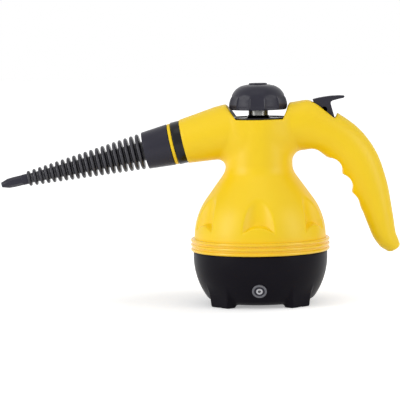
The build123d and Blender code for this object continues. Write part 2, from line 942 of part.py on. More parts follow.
# Boiler
with BuildPart() as boiler_bottom:
    outer_edge = boiler_r - boiler_foot_edge
    add(
        turned(
            [
                (0, boiler_foot_z),
                (outer_edge, boiler_foot_z),
                (boiler_r, boiler_foot_z + boiler_foot_edge),
                (boiler_r, flange_z - flange_thick),
                (flange_r, flange_z - flange_thick),
                (flange_r, flange_z),
                (boiler_inner_r, flange_z),
                (boiler_inner_r, boiler_foot_z + boiler_foot_edge + boiler_corner),
                (outer_edge - boiler_corner, boiler_foot_z + boiler_wall),
                (0, boiler_foot_z + boiler_wall),
            ]
        )
    )
    half = element_tube_r + channel_wall
    low = boiler_foot_z - channel_deep
    high = boiler_foot_z + boiler_wall / 2
    room = element_tube_r + slide_gap
    add(
        turned(
            [
                (element_r - half, low),
                (element_r + half, low),
                (element_r + half, high),
                (element_r - half, high),
            ]
        )
    )
    with BuildSketch(side):
        with Locations((element_r, element_z)):
            Circle(room)
        outline(
            [
                (element_r - room, element_z),
                (element_r - room, low - channel_wall),
                (element_r + room, low - channel_wall),
                (element_r + room, element_z),
            ]
        )
    revolve(axis=upright, mode=Mode.SUBTRACT)
    for x, y in bolt_spots:
        add(pin_solid(upward(x, y), screw_r + pilot_gap, boiler_foot_z, flange_z), mode=Mode.SUBTRACT)
    for y in (ear_place, -ear_place):
        deep = boiler_foot_z + ear_screw_deep + fit_gap - ear_thick
        add(pin_solid(upward(0, y), ear_screw_r + slide_gap, 0, deep), mode=Mode.SUBTRACT)
keep(boiler_bottom.part, "boiler_bottom")

with BuildPart() as boiler_gasket:
    add(ring_solid(level(0), boiler_inner_r + lug_gap, flange_r, flange_z, gasket_top_z))
    for x, y in bolt_spots:
        add(pin_solid(upward(x, y), screw_r + pilot_gap, flange_z, gasket_top_z), mode=Mode.SUBTRACT)
keep(boiler_gasket.part, "boiler_gasket")

with BuildPart() as boiler_top:
    outer_edge = boiler_r - boiler_top_edge
    add(
        turned(
            [
                (boiler_inner_r, gasket_top_z),
                (flange_r, gasket_top_z),
                (flange_r, flange_top_z),
                (boiler_r, flange_top_z),
                (boiler_r, boiler_side_z),
                (outer_edge, boiler_side_z + boiler_top_edge),
                (neck_boss_r, boiler_top_z),
                (neck_boss_r, neck_boss_z),
                (neck_r + fit_gap, neck_boss_z),
                (neck_r + fit_gap, boiler_top_z),
                (neck_bore_r, boiler_top_z),
                (neck_bore_r, boiler_top_z - boiler_wall),
                (outer_edge - boiler_corner, boiler_top_z - boiler_wall),
                (boiler_inner_r, boiler_side_z - boiler_corner),
            ]
        )
    )
    for x, y in bolt_spots:
        add(pin_solid(upward(x, y), screw_r + pilot_gap, gasket_top_z, flange_top_z), mode=Mode.SUBTRACT)
    add(pin_solid(upward(elbow_x, 0), elbow_stub_r + fit_gap, boiler_side_z, neck_boss_z), mode=Mode.SUBTRACT)
keep(boiler_top.part, "boiler_top")

with BuildPart() as boiler_bolts:
    for x, y in bolt_spots:
        seat = Plane(origin=(body_x + x, y, flange_top_z), x_dir=(1, 0, 0), z_dir=(0, 0, -1))
        add(screw_solid(seat, screw_r, bolt_long, screw_head_r, screw_head_high))
keep(boiler_bolts.part, "boiler_bolts")

with BuildPart() as boiler_nuts:
    for x, y in nut_spots:
        with BuildSketch(upward(x, y, flange_z - flange_thick - nut_thick)):
            RegularPolygon(radius=nut_r, side_count=6)
            Circle(screw_r + slide_gap, mode=Mode.SUBTRACT)
        extrude(amount=nut_thick)
keep(boiler_nuts.part, "boiler_nuts")

with BuildPart() as filler_neck:
    add(ring_solid(level(0), neck_bore_r, neck_r, boiler_top_z, neck_rim_z))
keep(filler_neck.part, "filler_neck")

# Heater, its guards and the wiring under the boiler
with BuildPart() as heating_element:
    with BuildSketch(spoke(element_start)):
        with Locations((element_r, element_z)):
            Circle(element_tube_r)
    revolve(axis=upright, revolution_arc=element_arc)
    ends = ((element_start, 1), (element_start + element_arc, -1))
    for bearing, turn in ends:
        out = spoke(bearing, element_z)
        tip = Plane(origin=out.origin + out.x_dir * element_r, z_dir=out.z_dir * turn)
        add(pin_solid(tip, pin_r, 0, pin_long))
keep(heating_element.part, "heating_element")

with BuildPart() as thermostat:
    low = boiler_foot_z - thermostat_high
    add(pin_solid(level(0), thermostat_r, low, boiler_foot_z))
    for y in (ear_place, -ear_place):
        add(pin_solid(upward(0, y), ear_r, boiler_foot_z - ear_thick, boiler_foot_z))
    with BuildSketch(level(boiler_foot_z - ear_thick)):
        Rectangle(2 * ear_r, 2 * ear_place)
    extrude(amount=ear_thick)
    with BuildSketch(level(low - blade_long)):
        with Locations((blade_place, 0), (-blade_place, 0)):
            Rectangle(blade_thick, blade_wide)
    extrude(amount=blade_long)
    for y in (ear_place, -ear_place):
        add(pin_solid(upward(0, y), ear_screw_r + slide_gap, low, boiler_foot_z), mode=Mode.SUBTRACT)
keep(thermostat.part, "thermostat")

with BuildPart() as thermostat_screws:
    for y in (ear_place, -ear_place):
        seat = upward(0, y, boiler_foot_z - ear_thick)
        add(screw_solid(seat, ear_screw_r, ear_screw_deep, ear_head_r, ear_head_high))
keep(thermostat_screws.part, "thermostat_screws")

fuse_x = -boiler_r - fuse_r - slide_gap
fuse_plane = Plane(origin=(body_x + fuse_x, 0, fuse_z), x_dir=(-1, 0, 0), z_dir=(0, 1, 0))
with BuildPart() as thermal_fuse:
    add(pin_solid(fuse_plane, fuse_r, -fuse_long / 2, fuse_long / 2))
keep(thermal_fuse.part, "thermal_fuse")

with BuildPart() as fuse_clip:
    clip_half = fuse_r + slide_gap + clip_thick
    add(pin_solid(fuse_plane, clip_half, -clip_wide / 2, clip_wide / 2))
    with BuildSketch(upward(fuse_x + clip_half / 2, 0, fuse_z - clip_tab)):
        Rectangle(clip_half, clip_wide)
    extrude(amount=2 * clip_tab)
    add(pin_solid(fuse_plane, fuse_r + slide_gap, -clip_wide, clip_wide), mode=Mode.SUBTRACT)
    with BuildSketch(upward(fuse_x - clip_half + fuse_r, 0, fuse_z - 2 * clip_tab)):
        Rectangle(2 * clip_half, 2 * clip_wide)
    extrude(amount=2 * clip_tab - clip_half, mode=Mode.SUBTRACT)
    with BuildSketch(upward(fuse_x - clip_half + fuse_r, 0, fuse_z + clip_half)):
        Rectangle(2 * clip_half, 2 * clip_wide)
    extrude(amount=2 * clip_tab, mode=Mode.SUBTRACT)
    add(pin_solid(level(0), boiler_r, boiler_foot_z, flange_z), mode=Mode.SUBTRACT)
keep(fuse_clip.part, "fuse_clip")

with BuildPart() as terminal_block:
    with BuildSketch(upward(-block_place, 0, floor_top_z)):
        Rectangle(block_deep, block_wide)
    extrude(amount=block_high)
    for n in range(block_ways):
        way = upward(-block_place, (n - (block_ways - 1) / 2) * block_pitch, floor_top_z + block_high)
        add(pin_solid(way, block_way_r, -block_way_deep, block_way_deep), mode=Mode.SUBTRACT)
keep(terminal_block.part, "terminal_block")

block_face_x = -block_place + block_deep / 2
pin_tip_x = element_r * cos(radians(element_start)) - pin_long * sin(radians(element_start - 180))
wire_top_z = element_z - pin_r
with BuildPart() as lead_wires:
    for y in (wire_pin_y, -wire_pin_y):
        run = [(pin_tip_x, y, wire_top_z), (pin_tip_x, y, wire_z), (block_face_x, y, wire_z)]
        add(tube_solid(run, wire_bend, wire_r, 0))
    run = [
        (fuse_x, fuse_long / 2, fuse_z),
        (fuse_x, wire_out_y, fuse_z),
        (fuse_x, wire_out_y, wire_end_z),
        (fuse_x, block_wide / 2, wire_end_z),
    ]
    add(tube_solid(run, wire_bend, wire_r, 0))
    run = [
        (fuse_x, -fuse_long / 2, fuse_z),
        (fuse_x, -wire_in_y, fuse_z),
        (fuse_x, -wire_in_y, wire_z),
        (-blade_place, -wire_in_y, wire_z),
        (-blade_place, -blade_wide / 2, wire_z),
    ]
    add(tube_solid(run, wire_bend, wire_r, 0))
    run = [
        (blade_place, blade_wide / 2, wire_z),
        (blade_place, wire_step, wire_z),
        (block_face_x, wire_step, wire_z),
    ]
    add(tube_solid(run, wire_bend, wire_r, 0))
keep(lead_wires.part, "lead_wires")

# Cord inlet and its clamp
with BuildPart() as cord_bushing:
    add(pin_solid(cord_plane, bushing_neck_r, cord_boss_in - bushing_flange, cord_boss_y))
    add(pin_solid(cord_plane, bushing_r, cord_boss_y, cord_boss_y + bushing_flange))
    add(pin_solid(cord_plane, bushing_r, cord_boss_in - bushing_flange, cord_boss_in))
    add(pin_solid(cord_plane, cord_r, cord_boss_in - wall, cord_boss_y + wall), mode=Mode.SUBTRACT)
keep(cord_bushing.part, "cord_bushing")

with BuildPart() as cord_clamp:
    with BuildSketch(upward(0, clamp_place_y, cable_bar_z)):
        RectangleRounded(clamp_bar_wide, clamp_bar_deep, clamp_bar_deep / 3)
        with Locations((clamp_post_place, 0), (-clamp_post_place, 0)):
            Circle(ear_screw_r + slide_gap, mode=Mode.SUBTRACT)
    extrude(amount=clamp_bar_thick)
keep(cord_clamp.part, "cord_clamp")

with BuildPart() as clamp_screws:
    for x in (clamp_post_place, -clamp_post_place):
        top = cable_bar_z + clamp_bar_thick
        seat = Plane(origin=(body_x + x, clamp_place_y, top), x_dir=(1, 0, 0), z_dir=(0, 0, -1))
        add(screw_solid(seat, ear_screw_r, clamp_screw_long, ear_head_r, ear_head_high))
keep(clamp_screws.part, "clamp_screws")

# Indicator in the front of the base
with BuildPart() as indicator_bezel:
    add(pin_solid(lamp_plane, bezel_r, -bezel_seat, bezel_proud))
    add(pin_solid(lamp_plane, bezel_barrel_r, -bezel_barrel, -bezel_seat))
    dish = bezel_r - bezel_rim
    add(pin_solid(lamp_plane, dish, bezel_proud - bezel_dip, bezel_proud), mode=Mode.SUBTRACT)
    add(pin_solid(lamp_plane, bezel_bore_r, -bezel_barrel, bezel_proud), mode=Mode.SUBTRACT)
keep(indicator_bezel.part, "indicator_bezel")

with BuildPart() as indicator_lens:
    add(pin_solid(lamp_plane, lens_r, -lens_deep, bezel_proud))
    front = indicator_lens.faces().sort_by(Axis(lamp_plane.origin, lamp_plane.z_dir))[-1]
    chamfer(front.edges(), length=lens_crown)
keep(indicator_lens.part, "indicator_lens")

with BuildPart() as indicator_lamp:
    add(pin_solid(lamp_plane, lamp_r, -lens_deep - lamp_long, -lens_deep))
keep(indicator_lamp.part, "indicator_lamp")

# Filler dish with its lip along the front of the notch
with BuildPart() as filler_dish:
    bore = neck_r + fit_gap
    inner = dish_spigot_r - dish_spigot_wall
    add(
        turned(
            [
                (dish_r, notch_floor_z),
                (dish_r, notch_floor_z + dish_rim),
                (dish_top_r, dish_top_z),
                (bore, dish_top_z),
                (bore, dish_top_z - dish_wall),
                (inner, notch_floor_z + dish_rim - dish_wall / 2),
                (inner, notch_floor_z - dish_spigot_deep),
                (dish_spigot_r, notch_floor_z - dish_spigot_deep),
                (dish_spigot_r, notch_floor_z),
            ]
        )
    )
    with BuildPart(mode=Mode.PRIVATE) as lip:
        add(crested.part)
        rise = neck_top_z - notch_floor_z
        back = notch_front_x - lip_thick + fit_gap
        face = [
            (back, notch_floor_z),
            (notch_front_x, notch_floor_z),
            (notch_front_x + notch_front_run * rise, neck_top_z),
            (back + notch_front_run * rise, neck_top_z),
        ]
        add(slab(face, dome_r), mode=Mode.INTERSECT)
    add(lip.part)
keep(filler_dish.part, "filler_dish")

# Cap: knob, button, plug with its relief pin and gasket
cap_high = cap_dome_z - cap_foot_z
web_top_z = plug_top_z + cap_wall
with BuildPart() as cap_knob:
    outside = [(r * cap_r, cap_foot_z + h * cap_high) for r, h in cap_shares]
    inside = [(r * cap_r - cap_wall, cap_foot_z + h * (cap_high - cap_wall)) for r, h in cap_shares]
    crown = [(cap_crown_r, cap_dome_z), (0, cap_dome_z), (0, cap_dome_z - cap_wall)]
    crown += [(cap_crown_r - hub_wall, cap_dome_z - cap_wall)]
    add(turned(outside + crown + inside[::-1]))
    hub_in = plug_flange_r + fit_gap
    add(ring_solid(level(0), hub_in, hub_in + hub_wall, hub_foot_z, cap_dome_z - cap_wall))
    add(pin_solid(level(0), hub_in, plug_top_z, web_top_z))
    for x, y in round_places(flute_count, cap_r + flute_r - flute_deep, 0):
        add(pin_solid(upward(x, y), flute_r, cap_foot_z - wall, cap_dome_z), mode=Mode.SUBTRACT)
    button_room = cap_dome_z - button_spigot_deep - fit_gap
    add(pin_solid(level(0), button_spigot_r + slide_gap, button_room, cap_dome_z), mode=Mode.SUBTRACT)
keep(cap_knob.part, "cap_knob")

with BuildPart() as cap_button:
    add(pin_solid(level(0), button_r, cap_dome_z, button_top_z))
    add(pin_solid(level(0), button_spigot_r, cap_dome_z - button_spigot_deep, cap_dome_z))
keep(cap_button.part, "cap_button")

with BuildPart() as cap_plug:
    add(pin_solid(level(0), plug_r, plug_foot_z, plug_head_z))
    add(pin_solid(level(0), plug_flange_r, plug_head_z, plug_top_z))
    add(pin_solid(level(0), relief_bore_r, relief_seat_z, plug_top_z), mode=Mode.SUBTRACT)
    add(pin_solid(level(0), relief_hole_r, plug_foot_z, relief_seat_z), mode=Mode.SUBTRACT)
keep(cap_plug.part, "cap_plug")

with BuildPart() as cap_gasket:
    add(ring_solid(level(0), plug_r + fit_gap, neck_r, neck_rim_z + fit_gap, plug_head_z - fit_gap))
keep(cap_gasket.part, "cap_gasket")

with BuildPart() as relief_pin:
    head_z = relief_seat_z + relief_head_thick
    add(pin_solid(level(0), relief_pin_r, plug_foot_z, head_z + relief_stem_long))
    add(pin_solid(level(0), relief_head_r, relief_seat_z, head_z))
keep(relief_pin.part, "relief_pin")

with BuildPart() as relief_spring:
    add(coil_solid(level(head_z), relief_head_r, relief_wire_r, plug_top_z - head_z, relief_turns))
keep(relief_spring.part, "relief_spring")

# Trigger and its pin
with BuildPart() as trigger_lever:
    add(slab(trigger_top + trigger_end + [trigger_inner] + trigger_leg + trigger_low, trigger_wide / 2))
    add(slab(trigger_web, trigger_wide / 2))
    add(slab(trigger_hollow, trigger_wide / 2 - trigger_wall), mode=Mode.SUBTRACT)
    add(pin_solid(across(pivot_x, pivot_z), hub_r, -trigger_wide / 2, trigger_wide / 2))
    add(pin_solid(across(nose_x, nose_z), nose_r, -trigger_wide / 2, trigger_wide / 2))
    bore = trigger_pin_r + slide_gap
    add(pin_solid(across(pivot_x, pivot_z), bore, -trigger_wide, trigger_wide), mode=Mode.SUBTRACT)
keep(trigger_lever.part, "trigger_lever")

with BuildPart() as trigger_pin:
    end = pin_half - fit_gap
    add(pin_solid(across(pivot_x, pivot_z), trigger_pin_r, -end, end))
keep(trigger_pin.part, "trigger_pin")

# Steam valve under the trigger
valve = upward(nose_x, 0)
with BuildPart() as valve_body:
    add(pin_solid(valve, valve_r, valve_foot_z, valve_top_z))
    for z in (inlet_z, outlet_z):
        port = Plane(origin=(body_x + nose_x, 0, z), z_dir=(-1, 0, 0))
        add(pin_solid(port, port_r, 0, valve_r + port_long))
    add(pin_solid(valve, chamber_r, valve_foot_z, valve_seat_z), mode=Mode.SUBTRACT)
    add(pin_solid(valve, gallery_r, valve_seat_z, gallery_top_z), mode=Mode.SUBTRACT)
    add(pin_solid(valve, stem_r + slide_gap, gallery_top_z, valve_top_z), mode=Mode.SUBTRACT)
    for z in (inlet_z, outlet_z):
        port = Plane(origin=(body_x + nose_x, 0, z), z_dir=(-1, 0, 0))
        add(pin_solid(port, port_bore_r, 0, valve_r + port_long), mode=Mode.SUBTRACT)
keep(valve_body.part, "valve_body")

with BuildPart() as valve_plug:
    add(pin_solid(valve, plug_head_r, valve_foot_z - plug_head_thick, valve_foot_z))
    add(pin_solid(valve, chamber_r - slide_gap, valve_foot_z, plug_inner_z))
keep(valve_plug.part, "valve_plug")

with BuildPart() as valve_spring:
    high = poppet_z - plug_inner_z
    add(coil_solid(upward(nose_x, 0, plug_inner_z), spring_r, spring_wire_r, high, spring_turns))
keep(valve_spring.part, "valve_spring")

with BuildPart() as valve_stem:
    add(pin_solid(valve, spring_spigot_r, poppet_z - spring_spigot, poppet_z))
    add(pin_solid(valve, poppet_r, poppet_z, poppet_z + poppet_thick))
    add(pin_solid(valve, stem_r, poppet_z + poppet_thick, stem_top_z))
    add(pin_solid(valve, stem_head_r, stem_top_z - stem_head_high, stem_top_z))
keep(valve_stem.part, "valve_stem")

with BuildPart() as stem_seal:
    add(ring_solid(valve, stem_r + slide_gap, poppet_r, valve_seat_z - seal_thick, valve_seat_z))
keep(stem_seal.part, "stem_seal")

# Steam line from the boiler to the nozzle
with BuildPart() as steam_elbow:
    fitting = upward(elbow_x, 0)
    add(pin_solid(fitting, elbow_stub_r, boiler_top_z - boiler_wall, boiler_top_z))
    add(pin_solid(fitting, elbow_foot_r, boiler_top_z, boiler_top_z + elbow_foot))
    add(pin_solid(fitting, port_r, boiler_top_z + elbow_foot, port_top_z))
    add(pin_solid(fitting, port_bore_r, boiler_side_z, port_top_z), mode=Mode.SUBTRACT)
keep(steam_elbow.part, "steam_elbow")

hose_bore_r = port_r + slide_gap
pipe_tail = out_along(pipe_back)
with BuildPart() as inlet_hose:
    foot = boiler_top_z + elbow_foot + turn_gap
    run = [(elbow_x, 0, foot), (elbow_x, 0, inlet_z), (hose_start_x, 0, inlet_z)]
    add(tube_solid(run, hose_bend, hose_r, hose_bore_r))
keep(inlet_hose.part, "inlet_hose")

with BuildPart() as outlet_hose:
    near_pipe = spout_end + spout_out * (pipe_back - outlet_lead) - Vector(body_x, 0, 0)
    at_pipe = spout_end + spout_out * (pipe_back + barb_long - turn_gap) - Vector(body_x, 0, 0)
    run = [
        (hose_start_x, 0, outlet_z),
        (outlet_turn_x, 0, outlet_z),
        (outlet_side_x, outlet_side_y, outlet_side_z),
        (-outlet_side_x, outlet_side_y, outlet_side_z),
        (near_pipe.X, near_pipe.Y, near_pipe.Z),
        (at_pipe.X, at_pipe.Y, at_pipe.Z),
    ]
    add(tube_solid(run, hose_bend, hose_r, hose_bore_r))
keep(outlet_hose.part, "outlet_hose")

with BuildPart() as hose_clamps:
    places = [upward(elbow_x, 0, port_top_z - clamp_in - hose_clamp_wide), out_along(pipe_back + clamp_in)]
    for z in (inlet_z, outlet_z):
        places.append(Plane(origin=(body_x + port_end_x + clamp_in, 0, z), z_dir=(1, 0, 0)))
    for place in places:
        add(ring_solid(place, hose_r + slide_gap, hose_clamp_r, 0, hose_clamp_wide))
keep(hose_clamps.part, "hose_clamps")

with BuildPart() as outlet_pipe:
    add(
        turned_out(
            [
                (pipe_back, port_bore_r),
                (pipe_back, port_r),
                (pipe_back + barb_long, port_r),
                (pipe_back + barb_long, pipe_r),
                (pipe_front, pipe_r),
                (pipe_front, pipe_bore_r),
                (pipe_back + barb_long + socket_floor, pipe_bore_r),
                (pipe_back + barb_long, port_bore_r),
            ]
        )
    )
keep(outlet_pipe.part, "outlet_pipe")

# Socket at the end of the spout, with the grooves of its twist lock
with BuildPart() as nozzle_socket:
    add(
        turned_out(
            [
                (-socket_tail, pipe_r + fit_gap),
                (-socket_tail, socket_tail_r),
                (0, socket_tail_r),
                (0, socket_r),
                (socket_front, socket_r),
                (socket_front, socket_bore_r),
                (socket_floor - socket_tail, socket_bore_r),
                (socket_floor - socket_tail, pipe_r + fit_gap),
            ]
        )
    )
    for n in range(lug_count):
        start = n * 360 / lug_count - entry_half
        with BuildSketch(out_along(groove_back)):
            ring_sector(spigot_r, groove_r, start, 2 * entry_half + twist_angle)
        extrude(amount=groove_front - groove_back, mode=Mode.SUBTRACT)
        with BuildSketch(out_along(groove_front)):
            ring_sector(spigot_r, groove_r, start, 2 * entry_half)
        extrude(amount=socket_front - groove_front, mode=Mode.SUBTRACT)
keep(nozzle_socket.part, "nozzle_socket")

with BuildPart() as socket_seal:
    with BuildSketch(spout_side):
        with Locations((seal_place, pipe_r + seal_r + slide_gap)):
            Circle(seal_r)
    revolve(axis=spout_axis)
keep(socket_seal.part, "socket_seal")

# Nozzle
with BuildPart() as index_band:
    add(ring_solid(out_along(0), coupler_core_r + fit_gap, band_r, band_back, band_front))
keep(index_band.part, "index_band")

with BuildPart() as nozzle_coupler:
    add(
        turned_out(
            [
                (spigot_back, spigot_bore_r),
                (spigot_back, spigot_r),
                (socket_front + turn_gap, spigot_r),
                (socket_front + turn_gap, coupler_core_r),
                (coupler_back, coupler_core_r),
                (coupler_back, coupler_r),
                (coupler_front, coupler_end_r),
                (coupler_front, shank_r + fit_gap),
                (shank_back - fit_gap, shank_r + fit_gap),
                (shank_back - fit_gap, tube_r + fit_gap),
                (spigot_bore_front, tube_r + fit_gap),
                (spigot_bore_front, spigot_bore_r),
            ]
        )
    )
    for n in range(lug_count):
        with BuildSketch(out_along(lug_back)):
            ring_sector(spigot_r - wall, lug_r, n * 360 / lug_count - lug_half, 2 * lug_half)
        extrude(amount=lug_front - lug_back)
keep(nozzle_coupler.part, "nozzle_coupler")

with BuildPart() as finned_nozzle:
    slope = (core_last_r - core_first_r) / (core_front - core_back)
    profile = [(shank_back, tube_r + fit_gap), (shank_back, shank_r)]
    profile += [(core_back, shank_r), (core_back, core_first_r)]
    for n in range(fin_count):
        center = fin_first + n * fin_pitch
        reach = fin_first_r + n * (fin_last_r - fin_first_r) / (fin_count - 1)
        for place, radius in (
            (center - fin_root / 2, None),
            (center - fin_tip / 2, reach),
            (center + fin_tip / 2, reach),
            (center + fin_root / 2, None),
        ):
            profile.append((place, radius or core_first_r + slope * (place - core_back)))
    profile += [(core_front, profile[-1][1]), (core_front, tube_r + fit_gap)]
    add(turned_out(profile))
keep(finned_nozzle.part, "finned_nozzle")

with BuildPart() as nozzle_tube:
    add(ring_solid(out_along(0), tube_bore_r, tube_r, tube_back, tube_front))
keep(nozzle_tube.part, "nozzle_tube")

with BuildPart() as nozzle_tip:
    add(pin_solid(out_along(0), tube_r, tip_shank_back, core_front))
    add(pin_solid(out_along(0), tip_collar_r, core_front, tip_collar_front))
    with BuildSketch(out_along(tip_collar_front)):
        RegularPolygon(radius=tip_flat / 2, side_count=6, major_radius=False)
    extrude(amount=tip_flat_front - tip_collar_front)
    add(
        turned_out(
            [(tip_flat_front, 0), (tip_flat_front, tip_cone_r), (tip_end, tip_end_r), (tip_end, 0)]
        )
    )
    add(pin_solid(out_along(0), tube_bore_r, tip_shank_back, tip_bore_front), mode=Mode.SUBTRACT)
    add(pin_solid(out_along(0), jet_r, tip_bore_front, tip_end), mode=Mode.SUBTRACT)
keep(nozzle_tip.part, "nozzle_tip")
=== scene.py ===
import math

import bmesh
import bpy
import numpy as np
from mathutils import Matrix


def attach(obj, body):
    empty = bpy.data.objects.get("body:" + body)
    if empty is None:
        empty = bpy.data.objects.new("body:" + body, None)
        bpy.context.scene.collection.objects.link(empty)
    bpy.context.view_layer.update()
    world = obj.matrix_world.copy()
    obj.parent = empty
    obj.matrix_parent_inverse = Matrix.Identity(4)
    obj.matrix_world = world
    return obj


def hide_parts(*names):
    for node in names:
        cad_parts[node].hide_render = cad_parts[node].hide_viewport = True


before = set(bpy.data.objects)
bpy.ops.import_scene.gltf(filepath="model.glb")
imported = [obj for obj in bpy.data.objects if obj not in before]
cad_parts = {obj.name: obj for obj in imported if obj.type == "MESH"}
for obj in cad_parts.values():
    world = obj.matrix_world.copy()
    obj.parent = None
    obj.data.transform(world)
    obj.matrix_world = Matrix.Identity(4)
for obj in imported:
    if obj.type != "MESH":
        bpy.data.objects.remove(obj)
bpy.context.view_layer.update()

import openvdb
from mathutils import Matrix, Quaternion, Vector

# Every size below is in millimetres from the body's upright axis and the floor, as in the CAD.
mm = 0.001
spoutTilt = math.radians(12.6)
spoutReach = 78.7
nozzleLong = 197.6
handleReach = 145.0
spoutOut = Vector((-math.cos(spoutTilt), 0.0, -math.sin(spoutTilt)))
spoutEnd = Vector((-spoutReach, 0.0, 170.7))
# The frame's middle lies halfway between nozzle tip and handle
bodyX = (spoutReach + nozzleLong * math.cos(spoutTilt) - handleReach) / 2

# The housing: dome, waist, spout and handle, and what is taken out of them
domeForm = dict(radius=68.9, straightZ=70.0, curve=70.0, waist=35.0, waistZ=146.0, waistCurve=20.0)
spoutForm = dict(radius=23.2, halfAngle=6.5, length=68.0, endRound=12.0)
handleForm = dict(
    reach=handleReach, tipZ=54.5, rise=131.5, deep=26.2, wide=26.0, startRound=15.0, tipRound=4.0,
    samples=260, aheadWeight=5,
    sections=[
        (0.034, 0.985, 0.0, 0.954, 1.000), (0.228, 0.997, 0.0, 0.996, 0.923),
        (0.359, 1.0065, -5.0, 1.034, 0.846), (0.5155, 0.931, -23.3, 0.868, 0.769),
        (0.6325, 0.8275, -33.7, 0.866, 0.712), (0.7295, 0.679, -45.9, 0.838, 0.673),
        (0.792, 0.507, -59.0, 0.754, 0.635), (0.841, 0.350, -76.0, 0.602, 0.596),
        (0.8725, 0.217, -80.0, 0.527, 0.558), (0.903, 0.106, -77.0, 0.447, 0.500),
        (0.938, 0.045, -68.0, 0.372, 0.404), (0.958, 0.022, -63.0, 0.300, 0.330),
    ],
)
cutForm = dict(
    notch=[(-26.8, 192.0), (-33.1, 208.3), (29.3, 192.0), (31.9, 208.3)], notchFloor=193.6, wrap=0.0062,
    notchEdge=1.2, notchSoft=(0.8, 3.5), notchAcross=(6.0, 16.0), notchRise=(194.5, 199.5),
    pit=[(64.9, 205.2), (75.2, 196.7), (80.6, 193.1), (82.0, 198.9)], humpRound=5.0, pitRound=2.5,
    slot=(55.6, 81.1, 188.1, 8.0),
    crests=(209.3, 213.1, 50.0, 0.17), crestRound=3.0, slotEdge=1.2, crestRun=(50.0, 62.0),
    fingers=[(55.3, 148.8, 12.4), (74.4, 139.0, 12.4), (85.0, 121.8, 12.4), (88.5, 101.0, 16.0)],
    fingerRound=1.8,
    dimples=dict(
        count=6, radius=25.5, taper=0.3, least=7.0, most=40.0, lowZ=80.0, lowRadius=59.7,
        tilt=9.6, footZ=84.6, drop=5.6, half=16.0, footRadius=67.6, ledge=14.0, soft=1.2,
    ),
    shoulder=[(33.2, 192.0), (35.0, 183.5)], shoulderFrom=165.0, shoulderRound=0.6,
    screws=[(-66.0, 191.0), (-57.5, 157.0), (48.0, 165.5), (92.0, 178.0), (113.0, 143.0), (126.0, 96.0)],
)
shellBuild = dict(
    voxel=1.05, low=(-112.0, -74.0, 50.0), high=(150.0, 2.0, 222.0), wall=2.5, fillet=11.0, spoutFillet=9.5,
    endFrom=130.0, endRound=0.7, footZ=56.0, footTo=100.0, split=0.04,
    dishHole=21.9, dishHoleZ=180.0, screwHole=2.9, screwSeat=6.0,
)


# A colour given as sRGB hex, as linear numbers
def toLinear(code):
    parts = [int(code[i:i + 2], 16) / 255 for i in (0, 2, 4)]
    return tuple(c / 12.92 if c <= 0.04045 else ((c + 0.055) / 1.055) ** 2.4 for c in parts) + (1.0,)


# Adds a node, sets its properties, and sets or links its inputs
def addNode(tree, kind, inputs=None, **settings):
    node = tree.nodes.new(kind)
    for name, value in settings.items():
        setattr(node, name, value)
    for name, value in (inputs or {}).items():
        if hasattr(value, "is_output"):
            tree.links.new(value, node.inputs[name])
        else:
            node.inputs[name].default_value = value
    return node


# A procedural material: two near colours in 25 mm clouds, a surface grain given as cells per metre and
# depth in millimetres, and a roughness that varies with the grain
def makeSurface(name, colour, shade, roughness, roughSpread, grain, grainDepth, metallic=0.0, specular=0.5,
                coat=0.0, coatRoughness=0.2, subsurface=0.0):
    material = bpy.data.materials.new(name)
    material.use_nodes = True
    tree = material.node_tree
    tree.nodes.clear()
    place = addNode(tree, "ShaderNodeTexCoord").outputs["Object"]
    soft = addNode(tree, "ShaderNodeTexNoise", {"Vector": place, "Scale": 40.0, "Detail": 3.0})
    fine = addNode(tree, "ShaderNodeTexNoise", {"Vector": place, "Scale": grain, "Detail": 2.0})
    tone = addNode(tree, "ShaderNodeMix", {"Factor": soft.outputs["Fac"]}, data_type="RGBA")
    tone.inputs[6].default_value = toLinear(colour)
    tone.inputs[7].default_value = toLinear(shade)
    gloss = addNode(tree, "ShaderNodeMapRange", {
        "Value": fine.outputs["Fac"], "From Min": 0.3, "From Max": 0.7,
        "To Min": roughness - roughSpread, "To Max": roughness + roughSpread,
    })
    bump = addNode(tree, "ShaderNodeBump", {
        "Height": fine.outputs["Fac"], "Distance": grainDepth * mm, "Strength": 1.0,
    })
    shader = addNode(tree, "ShaderNodeBsdfPrincipled", {
        "Base Color": tone.outputs[2], "Roughness": gloss.outputs["Result"],
        "Normal": bump.outputs["Normal"],
        "Metallic": metallic, "Specular IOR Level": specular, "Coat Weight": coat,
        "Coat Roughness": coatRoughness, "Subsurface Weight": subsurface,
    })
    addNode(tree, "ShaderNodeOutputMaterial", {"Surface": shader.outputs["BSDF"]})
    return material


# Yellow ABS of the housing, satin from a finely eroded mould: even saturated yellow, broad soft sheen
yellowAbs = makeSurface("yellowAbs", "fcd308", "facf05", 0.42, 0.04, 2600.0, 0.02,
                        specular=0.45, subsurface=0.04)
# Yellow ABS of the collar, moulded glossier: a tighter highlight along each rib
glossYellowAbs = makeSurface("glossYellowAbs", "fccb04", "f9c703", 0.28, 0.03, 1400.0, 0.01,
                             coat=0.2, coatRoughness=0.15, subsurface=0.04)
# Charcoal polypropylene of the base, dull from a textured mould: near black with a wide faint sheen
charcoalPolypropylene = makeSurface("charcoalPolypropylene", "15131a", "121016", 0.38, 0.05, 2200.0, 0.03,
                                    specular=0.06)
# Charcoal ABS of cap, trigger and coupler, satin: dark blue-grey that shows each ridge
charcoalAbs = makeSurface("charcoalAbs", "2f2e39", "2b2a34", 0.32, 0.04, 2400.0, 0.02, specular=0.2)
# Black ABS of the socket and dish, polished mould: black with clear reflections
polishedBlackAbs = makeSurface("polishedBlackAbs", "08080b", "060608", 0.2, 0.03, 900.0, 0.003,
                               specular=0.3)
# Charcoal nylon of the nozzle, satin: dark fins with a soft light on each edge
charcoalNylon = makeSurface("charcoalNylon", "28272f", "24232b", 0.32, 0.05, 1800.0, 0.02)
